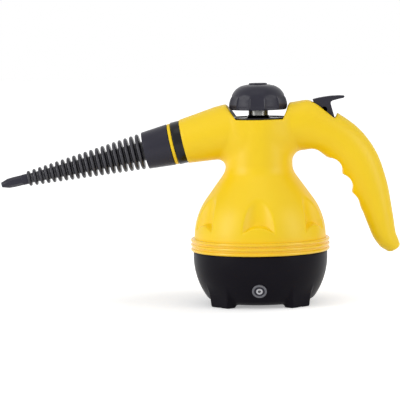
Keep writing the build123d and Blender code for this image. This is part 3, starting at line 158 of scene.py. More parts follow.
# Turned steel of the filler neck: grey with bright and dark upright bands
polishedSteel = makeSurface("polishedSteel", "9c9c98", "90908c", 0.3, 0.04, 700.0, 0.004, metallic=0.75)
# Zinc plate on screws, nuts and spring clips: pale cool metal
zincPlate = makeSurface("zincPlate", "a9abad", "9c9ea2", 0.32, 0.06, 900.0, 0.01, metallic=1.0)
# Die-cast aluminium of the boiler: dull light grey, slightly rough
castAluminium = makeSurface("castAluminium", "b4b6b8", "a6a8ab", 0.5, 0.08, 600.0, 0.06, metallic=1.0)
# Turned brass of the valve and fittings: warm yellow metal
turnedBrass = makeSurface("turnedBrass", "c39a4a", "b58c3e", 0.28, 0.05, 900.0, 0.01, metallic=1.0)
# Moulded silicone rubber of seals: dull black
sealRubber = makeSurface("sealRubber", "1a1a1a", "141414", 0.6, 0.06, 1500.0, 0.02)
# Extruded silicone of the steam hoses: milky, slightly waxy
hoseSilicone = makeSurface("hoseSilicone", "c8c2b6", "bcb6aa", 0.5, 0.06, 800.0, 0.02, subsurface=0.1)
# White nylon of blocks and clamps: warm white, satin
whiteNylon = makeSurface("whiteNylon", "dcd9d0", "d2cfc6", 0.45, 0.05, 1500.0, 0.02)
# Varnished glass-fibre sleeve on the leads: dull brick red
leadSleeve = makeSurface("leadSleeve", "9a2a1c", "8c2418", 0.55, 0.06, 2500.0, 0.04)
# Satin lacquered rim of the indicator: mid grey with a soft shine
satinRing = makeSurface("satinRing", "727278", "68686e", 0.38, 0.04, 1500.0, 0.01, metallic=0.4)
# Chromed ring round the indicator's lens: the brightest line on the base
chromedRing = makeSurface("chromedRing", "c4c4c8", "b8b8bc", 0.25, 0.03, 1200.0, 0.005, metallic=0.6)
# Smoked polycarbonate of the lens: dark and glossy, like glass
smokedPolycarbonate = makeSurface("smokedPolycarbonate", "2a2a30", "222228", 0.12, 0.03, 500.0, 0.004,
                                  coat=0.6, coatRoughness=0.05)


# A profile of (x, y) or (x, y, radius) points, with its corners turned into arcs of 20 degrees a step that
# take up at most half of an edge
def rounded(points, closed=True):
    result = []
    count = len(points)
    for i, point in enumerate(points):
        radius = point[2] if len(point) > 2 else 0.0
        here = Vector(point[:2])
        if radius <= 0 or (not closed and i in (0, count - 1)):
            result.append(here)
            continue
        back = Vector(points[i - 1][:2]) - here
        ahead = Vector(points[(i + 1) % count][:2]) - here
        angle = back.angle(ahead)
        if angle > math.pi - 0.02:
            result.append(here)
            continue
        cut = min(radius / math.tan(angle / 2), back.length * 0.49, ahead.length * 0.49)
        size = cut * math.tan(angle / 2)
        start = here + back.normalized() * cut
        end = here + ahead.normalized() * cut
        inwards = (back.normalized() + ahead.normalized()).normalized()
        centre = here + inwards * (size / math.sin(angle / 2))
        first, last = start - centre, end - centre
        turn = first.angle_signed(last) if first.length > 1e-9 and last.length > 1e-9 else 0.0
        steps = max(2, int(abs(turn) / 0.35) + 1)
        for k in range(steps + 1):
            a = -turn * k / steps
            result.append(centre + Matrix.Rotation(a, 2) @ first)
    return result


# Turns a mesh in millimetres into a piece in place, shaded, dressed and riding on its body
def finishPiece(bm, name, material, body, nodes=(), sharp=35.0):
    bmesh.ops.remove_doubles(bm, verts=bm.verts, dist=0.0005)
    bmesh.ops.recalc_face_normals(bm, faces=bm.faces)
    for edge in bm.edges:
        edge.smooth = len(edge.link_faces) == 2 and edge.calc_face_angle() < math.radians(sharp)
    for face in bm.faces:
        face.smooth = True
    mesh = bpy.data.meshes.new(name)
    bm.to_mesh(mesh)
    bm.free()
    mesh.transform(Matrix.Scale(mm, 4) @ Matrix.Translation((bodyX, 0.0, 0.0)))
    mesh.materials.append(material)
    piece = bpy.data.objects.new(name, mesh)
    bpy.context.scene.collection.objects.link(piece)
    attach(piece, body)
    if nodes:
        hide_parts(*nodes)
    return piece


# Lathe frame whose axis is vertical through a point
def uprightFrame(x=0.0, y=0.0, z=0.0):
    return Matrix.Translation((x, y, z))


# Lathe frame whose axis is the spout's line, from its end outwards
def outFrame():
    return Matrix.Translation(spoutEnd) @ spoutOut.to_track_quat("Z", "Y").to_matrix().to_4x4()


# Spins a closed profile of (radius, height) points about the frame's axis
def lathe(bm, profile, place, steps=96):
    verts = [bm.verts.new(place @ Vector((p[0], 0.0, p[1]))) for p in profile]
    edges = [bm.edges.new((verts[i], verts[(i + 1) % len(verts)])) for i in range(len(verts))]
    axis = (place.to_3x3() @ Vector((0, 0, 1))).normalized()
    bmesh.ops.spin(bm, geom=verts + edges, cent=place.translation, axis=axis, dvec=(0, 0, 0),
                   angle=2 * math.pi, steps=steps, use_merge=True)


# A lathed piece of one closed profile
def turnedPiece(name, profile, place, material, body, nodes=(), steps=96):
    bm = bmesh.new()
    lathe(bm, rounded(profile), place, steps)
    return finishPiece(bm, name, material, body, nodes)


# The moulded shapes are meshed from distance fields, negative inside: this joins two with a fillet
def roundUnion(a, b, radius):
    blend = np.hypot(np.maximum(radius - a, 0), np.maximum(radius - b, 0))
    return np.maximum(radius, np.minimum(a, b)) - blend


# What two fields share, with its edge rounded
def roundBoth(a, b, radius):
    blend = np.hypot(np.maximum(radius + a, 0), np.maximum(radius + b, 0))
    return np.minimum(-radius, np.maximum(a, b)) + blend


# Distance to the line through two side-view points, positive on its left
def plane(x, z, first, second):
    dx, dz = second[0] - first[0], second[1] - first[1]
    return (dx * (z - first[1]) - dz * (x - first[0])) / math.hypot(dx, dz)


# Rises from 0 to 1 between two limits
def ramp(value, limits):
    return np.clip((value - limits[0]) / (limits[1] - limits[0]), 0, 1)


# Distance along the spout's line, outwards from its end
def alongSpout(x, z):
    return -(x - spoutEnd.x) * math.cos(spoutTilt) - (z - spoutEnd.z) * math.sin(spoutTilt)


# The dome, waist and neck of revolution: two arcs and the straight line that touches both
def domeField(r, z):
    s = domeForm
    centreX = s["radius"] - s["curve"]
    waistX = s["waist"] + s["waistCurve"]
    across, rise = waistX - centreX, s["waistZ"] - s["straightZ"]
    span = math.hypot(rise, across)
    turn = math.atan2(rise, across) - math.acos((s["curve"] + s["waistCurve"]) / span)
    normal = (math.cos(turn), math.sin(turn))
    endR = centreX + s["curve"] * normal[0]
    endZ = s["straightZ"] + s["curve"] * normal[1]
    length = math.sqrt(span ** 2 - (s["curve"] + s["waistCurve"]) ** 2)
    along = -(r - endR) * normal[1] + (z - endZ) * normal[0]
    slope = (r - endR) * normal[0] + (z - endZ) * normal[1]
    arc = np.hypot(r - centreX, z - s["straightZ"]) - s["curve"]
    waist = s["waistCurve"] - np.hypot(r - waistX, z - s["waistZ"])
    field = np.where(along < 0, arc, np.where(along < length, slope, waist))
    field = np.where(z < s["straightZ"], r - s["radius"], field)
    return np.where(z > s["waistZ"], r - s["waist"], field)


# Values along a smooth curve through the given ones, one of which belongs to each knot
def smoothAt(values, knots, fine):
    slopes = np.gradient(values, knots)
    i = np.clip(np.searchsorted(knots, fine) - 1, 0, len(knots) - 2)
    h = knots[i + 1] - knots[i]
    t = (fine - knots[i]) / h
    return ((2 * t**3 - 3 * t**2 + 1) * values[i] + (t**3 - 2 * t**2 + t) * h * slopes[i]
            + (3 * t**2 - 2 * t**3) * values[i + 1] + (t**3 - t**2) * h * slopes[i + 1])


# The handle: oval sections across a middle line, each given as the line's place, its lean in degrees, and
# the section's depth and width as shares of the largest
def handleField(x, y, z):
    s = handleForm
    keys = np.array(s["sections"])
    steps = np.hypot(np.diff(keys[:, 0]) * s["reach"], np.diff(keys[:, 1]) * s["rise"])
    knots = np.concatenate([[0], np.cumsum(steps)])
    fine = np.linspace(0, knots[-1], s["samples"])
    columns = zip(keys.T, (s["reach"], s["rise"], 1.0, s["deep"], s["wide"]))
    lineX, lineZ, lean, deep, wide = [smoothAt(column * size, knots, fine) for column, size in columns]
    lineZ = lineZ + s["tipZ"]
    # The section that each sample belongs to: the one whose plane passes nearest
    best = np.full(x.shape, 1e9, np.float32)
    pick = np.zeros(x.shape, np.int32)
    for i in range(len(fine)):
        tilt = math.radians(lean[i])
        ahead = (x - lineX[i]) * math.cos(tilt) + (z - lineZ[i]) * math.sin(tilt)
        up = (z - lineZ[i]) * math.cos(tilt) - (x - lineX[i]) * math.sin(tilt)
        away = (s["aheadWeight"] * ahead) ** 2 + up ** 2
        closer = away < best
        best[closer] = away[closer]
        pick[closer] = i
    angle = np.radians(lean[pick])
    px, pz = x - lineX[pick], z - lineZ[pick]
    depth = -px * np.sin(angle) + pz * np.cos(angle)
    past = np.where((pick == len(fine) - 1) | (pick == 0), px * np.cos(angle) + pz * np.sin(angle), 0.0)
    bulge = np.where(pick == 0, s["startRound"], s["tipRound"])
    half, width = deep[pick], wide[pick]
    a = np.sqrt((depth / half) ** 2 + (y / width) ** 2 + (past / bulge) ** 2)
    b = np.sqrt((depth / half**2) ** 2 + (y / width**2) ** 2 + (past / bulge**2) ** 2)
    return a * (a - 1) / np.maximum(b, 1e-4)


# Scoops the six shallow arches out of the dome
def dimpled(body, x, y, z, r):
    d = cutForm["dimples"]
    lean = math.radians(d["tilt"])
    run = math.radians(d["ledge"])
    wide = np.clip(d["radius"] - d["taper"] * (z - d["lowZ"]), d["least"], d["most"])
    for k in range(d["count"]):
        a = math.radians(-90 + k * 360 / d["count"])
        outward = x * math.cos(a) + y * math.sin(a) - d["lowRadius"]
        across = -x * math.sin(a) + y * math.cos(a)
        tilted = outward * math.cos(lean) + (z - d["lowZ"]) * math.sin(lean)
        foot = d["footZ"] - d["drop"] * (across / d["half"]) ** 2
        ledge = (foot - z) * math.cos(run) + (d["footRadius"] - r) * math.sin(run)
        scoop = np.maximum(np.hypot(tilted - wide, across) - wide, ledge)
        body = roundBoth(body, -scoop, d["soft"])
    return body


# The whole housing as one solid, with its notch, pit, crests, finger channels and dimples
def housingField(x, y, z, cut=True):
    c, b = cutForm, shellBuild
    r = np.hypot(x, y)
    u = alongSpout(x, z)
    side = (x - spoutEnd.x) * math.sin(spoutTilt) - (z - spoutEnd.z) * math.cos(spoutTilt)
    half = math.radians(spoutForm["halfAngle"])
    spout = (np.hypot(side, y) - spoutForm["radius"] + u * math.tan(half)) * math.cos(half)
    spout = roundBoth(spout, -u - spoutForm["length"], spoutForm["endRound"])
    body = domeField(r, z)
    shoulder = roundBoth(body, plane(r, z, *c["shoulder"]), c["shoulderRound"])
    body = np.where(z > c["shoulderFrom"], shoulder, body)
    if cut:
        body = dimpled(body, x, y, z, r)
    field = roundUnion(body, spout, b["spoutFillet"])
    field = roundUnion(field, handleField(x, y, z), b["fillet"])
    frontZ, backZ, backX, rise = c["crests"]
    crest = np.where(x < 0, z - frontZ, z - backZ - rise * np.minimum(x - backX, 0))
    if not cut:
        return roundBoth(field, crest, c["crestRound"])
    p = c["pit"]
    roof = roundBoth(crest, plane(x, z, p[0], p[1]), c["humpRound"])
    roof = roundUnion(roof, -plane(x, z, p[3], p[2]), c["pitRound"])
    edge = c["crestRound"] + (c["slotEdge"] - c["crestRound"]) * ramp(x, c["crestRun"])
    field = roundBoth(field, roof, edge)
    n = c["notch"]
    bend = c["wrap"] * y ** 2
    notch = np.maximum(plane(x - bend, z, n[0], n[1]), -plane(x + bend, z, n[2], n[3]))
    notch = np.maximum(notch, c["notchFloor"] - z)
    soft = c["notchSoft"][0] + c["notchSoft"][1] * ramp(np.abs(y), c["notchAcross"])
    field = roundBoth(field, -notch, c["notchEdge"] + soft * ramp(z, c["notchRise"]))
    for fx, fz, reach in c["fingers"]:
        field = roundBoth(field, reach - np.hypot(x - fx, z - fz), c["fingerRound"])
    return field


# Coordinates of a box of samples
def gridOf(low, high, step):
    axes = [np.arange(low[i], high[i] + step / 2, step, dtype=np.float32) for i in range(3)]
    return np.meshgrid(*axes, indexing="ij")


# Adds the zero surface of a sampled field to a mesh
def meshField(bm, field, low, step, mirror=False):
    volume = openvdb.FloatGrid(10.0)
    volume.copyFromArray(np.ascontiguousarray(field, dtype=np.float32))
    points, triangles, quads = volume.convertToPolygons(isovalue=0.0, adaptivity=0.0)
    points = points * step + np.array(low)
    if mirror:
        points[:, 1] *= -1
    verts = [bm.verts.new(p) for p in points.tolist()]
    for loop in quads.tolist() + triangles.tolist():
        if len(set(loop)) == len(loop):
            bm.faces.new([verts[i] for i in loop])


# The two housing halves, hollow, from one field
def makeShells():
    b, c = shellBuild, cutForm
    low = b["low"]
    x, y, z = gridOf(low, b["high"], b["voxel"])
    outer = housingField(x, y, z)
    shell = np.maximum(outer, -(outer + b["wall"]))
    # The spout is cut square at its end, and the dome at its foot but not the handle's tip
    shell = np.where(z > b["endFrom"], roundBoth(shell, alongSpout(x, z), b["endRound"]), shell)
    shell = np.where(x < b["footTo"], np.maximum(shell, b["footZ"] - z), shell)
    hole = np.maximum(np.hypot(x, y), b["dishHoleZ"] - z + b["dishHole"])
    shell = np.maximum(shell, b["dishHole"] - hole)
    s = c["slot"]
    opening = np.maximum(np.maximum(s[0] - x, x - s[1]), np.maximum(s[2] - z, np.abs(y) - s[3]))
    shell = np.maximum(shell, -opening)
    half = np.maximum(shell, y + b["split"])
    for name, mirror in (("leftShell", False), ("rightShell", True)):
        field = half
        if mirror:
            for sx, sz in c["screws"]:
                hole = np.maximum(np.hypot(x - sx, z - sz) - b["screwHole"], y + b["screwSeat"])
                field = np.maximum(field, -hole)
        bm = bmesh.new()
        meshField(bm, field, low, b["voxel"], mirror)
        node = "shell_right" if mirror else "shell_left"
        piece = finishPiece(bm, name, yellowAbs, "machine", (node,), sharp=60.0)
        print(name, len(piece.data.polygons))


makeShells()
print("stage: housing")

# The ribbed collar round the foot of the housing
collarForm = dict(
    inner=69.0, band=71.4, ribOut=1.5, ribHalf=1.75, footZ=56.0, firstZ=57.75, pitch=4.85, count=3,
)


# Three rounded ribs on a thin band
def makeCollar():
    s = collarForm
    top = s["firstZ"] + (s["count"] - 1) * s["pitch"] + s["ribHalf"]
    profile = [(s["inner"], top), (s["inner"], s["footZ"])]
    for k in range(s["count"]):
        middle = s["firstZ"] + k * s["pitch"]
        for j in range(13):
            a = math.radians(-90 + 15 * j)
            out, up = s["ribOut"] * math.cos(a), s["ribHalf"] * math.sin(a)
            profile.append((s["band"] + out, middle + up))
    turnedPiece("collar", profile, uprightFrame(), glossYellowAbs, "machine", ("ribbed_collar",),
                steps=160)


makeCollar()

# The base bowl with its feet
baseForm = dict(
    voxel=1.0, low=(-73.0, -73.0, -2.0), high=(73.0, 73.0, 59.0), wall=2.8, floor=3.0, floorRound=5.0,
    radius=70.2, curve=72.4, curveZ=50.0, rim=55.9,
    footPlace=54.6, footWide=13.0, footDeep=6.0, footHigh=22.0, footSlope=5.0, footCorner=1.6, footBack=0.8,
    footEdge=1.2, footBlend=2.5, post=5.4, recess=3.7, seat=36.0,
    lampZ=19.6, lampHole=7.8, lampSeat=0.6, lampBore=4.7, lampBoreDeep=8.0,
    cordZ=22.0, cordBoss=8.5, cordBlend=1.0, cordIn=40.0, cordOut=66.5, cordHole=5.3, cordHoleIn=50.0,
)


# The bowl, its four feet, and the holes for the indicator, cord and screws
def makeBase():
    s = baseForm
    low = s["low"]
    x, y, z = gridOf(low, s["high"], s["voxel"])
    r = np.hypot(x, y)
    middle = s["radius"] - s["curve"]

    def bowl(inset):
        curve = np.hypot(r - middle, z - s["curveZ"]) - s["curve"]
        side = np.where(z < s["curveZ"], curve, r - s["radius"])
        return roundBoth(side + inset, s["floor"] + inset - z, s["floorRound"])

    solid = bowl(0.0)
    for k in range(4):
        a = math.radians(45 + 90 * k)
        out = x * math.cos(a) + y * math.sin(a) - s["footPlace"] + s["footBack"]
        side = -x * math.sin(a) + y * math.cos(a)
        grow = np.clip(z, 0, s["footHigh"]) * math.tan(math.radians(s["footSlope"]))
        qx = np.abs(out) - s["footDeep"] - grow + s["footCorner"]
        qy = np.abs(side) - s["footWide"] - grow + s["footCorner"]
        block = np.hypot(np.maximum(qx, 0), np.maximum(qy, 0)) + np.minimum(np.maximum(qx, qy), 0)
        block = roundBoth(block - s["footCorner"], -z, s["footEdge"])
        block = np.maximum(block, z - s["footHigh"])
        solid = roundUnion(solid, block, s["footBlend"])
    fromCord = np.hypot(x, z - s["cordZ"])
    boss = np.maximum(fromCord - s["cordBoss"], np.maximum(y - s["cordOut"], s["cordIn"] - y))
    solid = roundUnion(solid, boss, s["cordBlend"])
    field = np.maximum(solid, -bowl(s["wall"]))
    for k in range(4):
        a = math.radians(45 + 90 * k)
        away = np.hypot(x - s["footPlace"] * math.cos(a), y - s["footPlace"] * math.sin(a))
        post = np.maximum(away - s["post"], np.maximum(s["floor"] - z, z - s["rim"]))
        field = np.minimum(field, post)
        field = np.maximum(field, -np.maximum(away - s["recess"], z - s["seat"]))
    field = np.maximum(field, -np.maximum(fromCord - s["cordHole"], s["cordHoleIn"] - y))
    dip = math.asin((s["curveZ"] - s["lampZ"]) / s["curve"])
    face = Vector((0.0, -(middle + s["curve"] * math.cos(dip)), s["lampZ"]))
    normal = Vector((0.0, -math.cos(dip), -math.sin(dip)))
    out = (y - face.y) * normal.y + (z - face.z) * normal.z
    up = -(y - face.y) * normal.z + (z - face.z) * normal.y
    ring = np.hypot(x, up)
    field = np.maximum(field, -np.maximum(ring - s["lampHole"], -s["lampSeat"] - out))
    field = np.maximum(field, -np.maximum(ring - s["lampBore"], -s["lampBoreDeep"] - out))
    field = np.maximum(field, z - s["rim"])
    bm = bmesh.new()
    meshField(bm, field, low, s["voxel"])
    piece = finishPiece(bm, "baseBowl", charcoalPolypropylene, "machine", ("base_cup",),
                        sharp=60.0)
    print("baseBowl", len(piece.data.polygons))
    return face, normal


lampFace, lampNormal = makeBase()
print("stage: base")

# The round indicator: outer rim, bright inner ring, and the lens behind them
indicatorForm = dict(
    radius=7.6, rim=1.9, proud=0.8, seat=0.6, barrel=4.6, barrelLong=8.0, floor=0.2,
    ring=3.3, ringFoot=0.15, bore=1.55, blackFoot=0.12, blackTop=0.3, blackGap=0.2,
    lens=1.5, lensFoot=-3.0, lensEdge=0.35, lensTop=0.6, gap=0.02,
)


# Turned about the normal of the bowl where it sits
def makeIndicator():
    s = indicatorForm
    place = Matrix.Translation(lampFace) @ lampNormal.to_track_quat("Z", "Y").to_matrix().to_4x4()
    inner = s["radius"] - s["rim"]
    turnedPiece("indicatorBezel", [
        (s["bore"], -s["barrelLong"]), (s["barrel"], -s["barrelLong"]), (s["barrel"], -s["seat"]),
        (s["radius"], -s["seat"]), (s["radius"], s["proud"], 0.4), (inner, s["proud"], 0.3),
        (inner - 0.3, s["floor"], 0.1), (s["bore"], s["floor"], 0.1),
    ], place, satinRing, "machine", ("indicator_bezel",), steps=72)
    turnedPiece("indicatorRing", [
        (s["bore"] + s["gap"], s["ringFoot"]), (s["ring"] + 0.1, s["ringFoot"]),
        (s["ring"], s["proud"] + 0.1, 0.3), (s["bore"] + s["gap"], s["proud"], 0.3),
    ], place, chromedRing, "machine", steps=72)
    blackIn, blackOut = s["ring"] + s["blackGap"], inner - s["blackGap"]
    turnedPiece("indicatorFloor", [
        (blackIn, s["blackFoot"]), (blackOut, s["blackFoot"]), (blackOut, s["blackTop"]),
        (blackIn, s["blackTop"]),
    ], place, charcoalAbs, "machine", steps=72)
    turnedPiece("indicatorLens", [
        (0.0, s["lensFoot"]), (s["lens"], s["lensFoot"]), (s["lens"], s["lensEdge"], 0.3),
        (0.9, s["lensTop"] - 0.05, 0.4), (0.0, s["lensTop"]),
    ], place, smokedPolycarbonate, "machine", ("indicator_lens",), steps=48)


makeIndicator()

# The steel filler neck
neckForm = dict(bore=8.2, radius=10.2, footZ=99.0, topZ=207.0)


# A plain tube up from the boiler
def makeNeck():
    s = neckForm
    turnedPiece("fillerNeck", [
        (s["bore"], s["footZ"]), (s["radius"], s["footZ"]), (s["radius"], s["topZ"], 0.6),
        (s["bore"], s["topZ"], 0.4),
    ], uprightFrame(), polishedSteel, "machine", ("filler_neck",))


makeNeck()

# The black dish on the floor of the notch, with a hub round the neck and a lip along the front
dishForm = dict(
    step=0.5, low=(-36.0, -36.0, 190.0), high=(36.0, 36.0, 212.0),
    rim=32.4, rimWide=1.3, floorZ=193.6, panZ=194.2, rimZ=195.4, panHole=16.8, floorGap=0.02, wallGap=0.1,
    hub=18.0, hubWaist=12.2, topRadius=10.9, topZ=197.4, bore=10.3,
    spigot=21.8, spigotDeep=4.4, spigotWall=1.8, lip=0.3, lipBack=0.5, lipInset=3.6, lipZ=203.0,
)


# The hub, turned together with the spigot below it
def makeHub():
    s = dishForm
    inner = s["spigot"] - s["spigotWall"]
    foot = s["floorZ"] - s["spigotDeep"]
    turnedPiece("fillerHub", [
        (s["bore"], s["topZ"] - 1.6), (s["bore"], s["topZ"], 0.3), (s["topRadius"], s["topZ"], 0.4),
        (s["hubWaist"], s["panZ"] + 0.8, 3.0), (s["hub"], s["panZ"] + 0.1, 1.0),
        (s["hub"], s["floorZ"] + 0.1), (s["spigot"], s["floorZ"] + 0.1), (s["spigot"], foot, 0.4),
        (inner, foot, 0.4), (inner, s["floorZ"] - 0.6), (s["bore"] + 2.0, s["floorZ"] - 0.6),
    ], uprightFrame(), polishedBlackAbs, "machine", ("filler_dish",), steps=128)


# The dish fills the notch from wall to wall, and the lip follows the housing's outside
def makeDish():
    s = dishForm
    n, k = cutForm["notch"], cutForm["wrap"]
    low = s["low"]
    x, y, z = gridOf(low, s["high"], s["step"])
    r = np.hypot(x, y)
    front = plane(x - k * y ** 2, z, n[0], n[1])
    rear = -plane(x + k * y ** 2, z, n[2], n[3])
    below = s["floorZ"] + s["floorGap"] - z
    room = roundBoth(np.maximum(front, rear) + s["wallGap"], r - s["rim"], 1.5)
    pan = roundBoth(np.maximum(room, below), z - s["rimZ"], 0.5)
    pan = roundBoth(pan, -np.maximum(room + s["rimWide"], s["panZ"] - z), 0.3)
    pan = np.maximum(pan, s["panHole"] - r)
    lip = housingField(x, y, z, cut=False) + s["lipInset"]
    lip = roundBoth(lip, -front - s["lip"], 0.3)
    lip = roundBoth(lip, front - s["lipBack"], 0.3)
    lip = roundBoth(lip, z - s["lipZ"], 0.8)
    lip = np.maximum(np.maximum(lip, below), x)
    moulded = (("fillerDish", pan, polishedBlackAbs), ("fillerLip", lip, charcoalPolypropylene))
    for name, field, material in moulded:
        bm = bmesh.new()
        meshField(bm, field, low, s["step"])
        piece = finishPiece(bm, name, material, "machine", sharp=60.0)
        print(name, len(piece.data.polygons))


makeHub()
makeDish()

# The screw cap: a fluted knob with a disc on top
capForm = dict(
    footZ=203.2, topZ=229.3, wall=3.6, innerRise=0.87,
    flutes=12, fluteDeep=1.7, fluteStart=(203.2, 205.2), fadeZ=(214.5, 218.5), ridge=0.4, ridgeHalf=0.6,
    rings=44, fluteSteps=36,
    profile=[
        (28.9, 203.2), (30.0, 204.2), (30.5, 206.0), (30.6, 208.0), (30.1, 211.4),
        (28.5, 216.0), (26.1, 220.8), (22.9, 224.6), (18.2, 227.6), (12.4, 229.1),
    ],
    crown=10.3, hub=12.1, hubWall=1.8, hubZ=206.0, hubTopZ=224.6, webZ=211.6,
    button=9.6, buttonZ=230.9, stem=6.0, stemZ=227.3,
)


# The fluted knob, its plug hub and the disc on top
def makeCap():
    s = capForm
    bm = bmesh.new()
    knots = np.arange(len(s["profile"]))
    fine = np.linspace(0, knots[-1], s["rings"])
    outer = list(zip(*[smoothAt(column, knots, fine) for column in np.array(s["profile"]).T]))
    steps = s["flutes"] * s["fluteSteps"]
    turns = [2 * math.pi * j / steps for j in range(steps)]
    pitch = 2 * math.pi / s["flutes"]

    def ring(radius, height, depth=0.0):
        row = []
        for a in turns:
            off = ((a + pitch / 2) % pitch - pitch / 2) / (pitch / 2)
            side = (1 - abs(off)) * pitch / 2 * radius / s["ridgeHalf"]
            near = radius - depth * (1 - off * off) + depth * s["ridge"] * math.exp(-side * side)
            row.append(bm.verts.new((near * math.cos(a), near * math.sin(a), height)))
        return row

    inner = [(r - s["wall"], s["footZ"] + (h - s["footZ"]) * s["innerRise"]) for r, h in outer]
    rows = [ring(r, h) for r, h in inner[::-5]]
    rows.append(ring(inner[0][0], s["footZ"]))
    for radius, height in outer:
        depth = s["fluteDeep"] * ramp(height, s["fluteStart"]) * ramp(height, s["fadeZ"][::-1])
        rows.append(ring(radius, height, depth))
    crown = ring(s["crown"], s["topZ"])
    rows.append(crown)
    for lower, upper in zip(rows, rows[1:]):
        for j in range(steps):
            k = (j + 1) % steps
            bm.faces.new((lower[j], lower[k], upper[k], upper[j]))
    bm.faces.new(crown)
    bm.faces.new(rows[0][::-1])
    hub = s["hub"] + s["hubWall"]
    # The hub below the crown, which carries the thread's plug
    lathe(bm, rounded([
        (s["hub"], s["hubZ"], 0.3), (hub, s["hubZ"], 0.3), (hub, s["hubTopZ"]), (0.0, s["hubTopZ"]),
        (0.0, s["webZ"]), (s["hub"], s["webZ"]),
    ]), uprightFrame(), 72)
    finishPiece(bm, "capKnob", charcoalAbs, "cap", ("cap_knob",), sharp=50.0)
    turnedPiece("capButton", [
        (0.0, s["stemZ"]), (s["stem"], s["stemZ"]), (s["stem"], s["topZ"]), (s["button"], s["topZ"], 0.2),
        (s["button"], s["buttonZ"] - 0.4, 0.4), (s["button"] - 1.2, s["buttonZ"], 0.5), (0.0, s["buttonZ"]),
    ], uprightFrame(), charcoalAbs, "cap", ("cap_button",))


makeCap()
print("stage: filler and cap")

# The trigger lever: two side walls and a crown between them, given as (x, z) outlines
triggerForm = dict(
    wide=7.5, wall=2.0, edge=0.5, overlap=0.3, inset=0.02,
    pivot=(61.0, 201.5), hub=4.0, nose=(68.93, 202.54), noseRadius=3.0,
    outline=[
        (56.8, 213.1), (60.8, 214.1), (65.0, 214.95), (70.0, 215.75), (76.0, 216.4), (83.0, 216.75),
        (89.3, 216.5), (90.2, 215.6), (89.2, 214.2), (83.0, 212.9), (78.0, 211.6), (76.0, 210.5),
        (75.6, 208.6), (76.6, 204.5), (78.0, 199.4), (79.2, 195.0), (78.5, 193.4), (74.0, 196.8),
        (70.0, 200.2), (66.0, 203.4), (62.0, 206.4), (58.0, 209.4),
    ],
    crown=[
        (57.2, 213.12), (65.0, 214.93), (70.0, 215.73), (76.0, 216.38), (83.0, 216.73), (89.2, 216.45),
        (90.0, 215.6), (89.1, 214.25), (83.0, 212.95), (78.0, 211.62), (75.98, 210.5), (75.58, 208.6),
        (76.58, 204.5), (77.98, 199.4), (79.15, 195.05), (77.4, 194.9), (74.4, 205.0), (72.6, 210.6),
        (68.2, 212.4), (60.2, 210.6),
    ],
    web=[(58.0, 209.6), (66.0, 203.8), (64.4, 199.4), (57.2, 202.6)],
)


# The curved lever with its hub on the pin and the nose that presses the valve stem
def makeTrigger():
    s = triggerForm
    bm = bmesh.new()

    def slabOf(points, near, far, edge):
        verts = [bm.verts.new((p[0], near, p[1])) for p in points]
        face = bm.faces.new(verts)
        made = bmesh.ops.extrude_face_region(bm, geom=[face])
        moved = {v for v in made["geom"] if isinstance(v, bmesh.types.BMVert)}
        bmesh.ops.translate(bm, verts=list(moved), vec=(0, far - near, 0))
        if edge:
            outer = {v for v in moved | set(verts) if abs(v.co.y) > s["wide"] - 0.001}
            rim = [e for e in bm.edges if e.verts[0] in outer and e.verts[1] in outer]
            bmesh.ops.bevel(bm, geom=rim, offset=edge, segments=3, profile=0.5, affect="EDGES",
                            material=-1, clamp_overlap=True)

    def disc(centre, radius):
        turns = [2 * math.pi * k / 24 for k in range(24)]
        return [(centre[0] + radius * math.cos(a), centre[1] + radius * math.sin(a)) for a in turns]

    inner = s["wide"] - s["wall"]
    slabOf(s["crown"], -inner - s["overlap"], inner + s["overlap"], 0)
    for side in (-1, 1):
        slabOf(s["outline"], side * inner, side * s["wide"], s["edge"])
        slabOf(s["web"], side * inner, side * (s["wide"] - s["inset"]), 0)
    slabOf(disc(s["pivot"], s["hub"]), -s["wide"], s["wide"], 0)
    slabOf(disc(s["nose"], s["noseRadius"]), -s["wide"], s["wide"], 0)
    finishPiece(bm, "triggerLever", charcoalAbs, "trigger", ("trigger_lever",), sharp=32.0)


makeTrigger()

# The spout's socket. From here on sizes are radii, and distances along the spout's line from its end
socketForm = dict(radius=22.6, front=9.3, tail=20.4, back=-12.0, floor=3.0, bore=16.4, pipe=4.1)


# The polished ring at the spout's end, with the cup behind it that the nozzle plugs into
def makeSocket():
    s = socketForm
    floor = s["back"] + s["floor"]
    turnedPiece("socketRing", [
        (s["pipe"], s["back"]), (s["tail"], s["back"], 0.5), (s["tail"], 0.0), (s["radius"], 0.0, 0.3),
        (s["radius"], s["front"], 0.7), (s["bore"], s["front"], 0.6), (s["bore"], floor),
        (s["pipe"], floor),
    ], outFrame(), polishedBlackAbs, "machine", ("nozzle_socket",), steps=128)


makeSocket()

# The yellow index band, which slides with the nozzle and doesn't turn
bandForm = dict(inner=17.5, radius=21.7, back=9.8, front=13.0)


# A plain ring
def makeBand():
    s = bandForm
    turnedPiece("indexBand", [
        (s["inner"], s["back"]), (s["radius"], s["back"], 0.5), (s["radius"], s["front"], 0.5),
        (s["inner"], s["front"]),
    ], outFrame(), yellowAbs, "nozzle_slide", ("index_band",), steps=128)


makeBand()

# The coupler
couplerForm = dict(
    back=13.5, front=41.5, radius=21.9, endRadius=19.5, core=17.4, coreBack=8.5,
    spigot=16.0, spigotBack=-7.0, spigotBore=7.6, spigotFloor=4.5, tube=3.1, seat=9.1, seatBack=36.0,
    lugStarts=(-11.0, 169.0), lugSweep=22.0, lugSteps=8, lugBack=-5.5, lugFront=-1.5, lugInner=15.0,
    lugOuter=18.3,
)


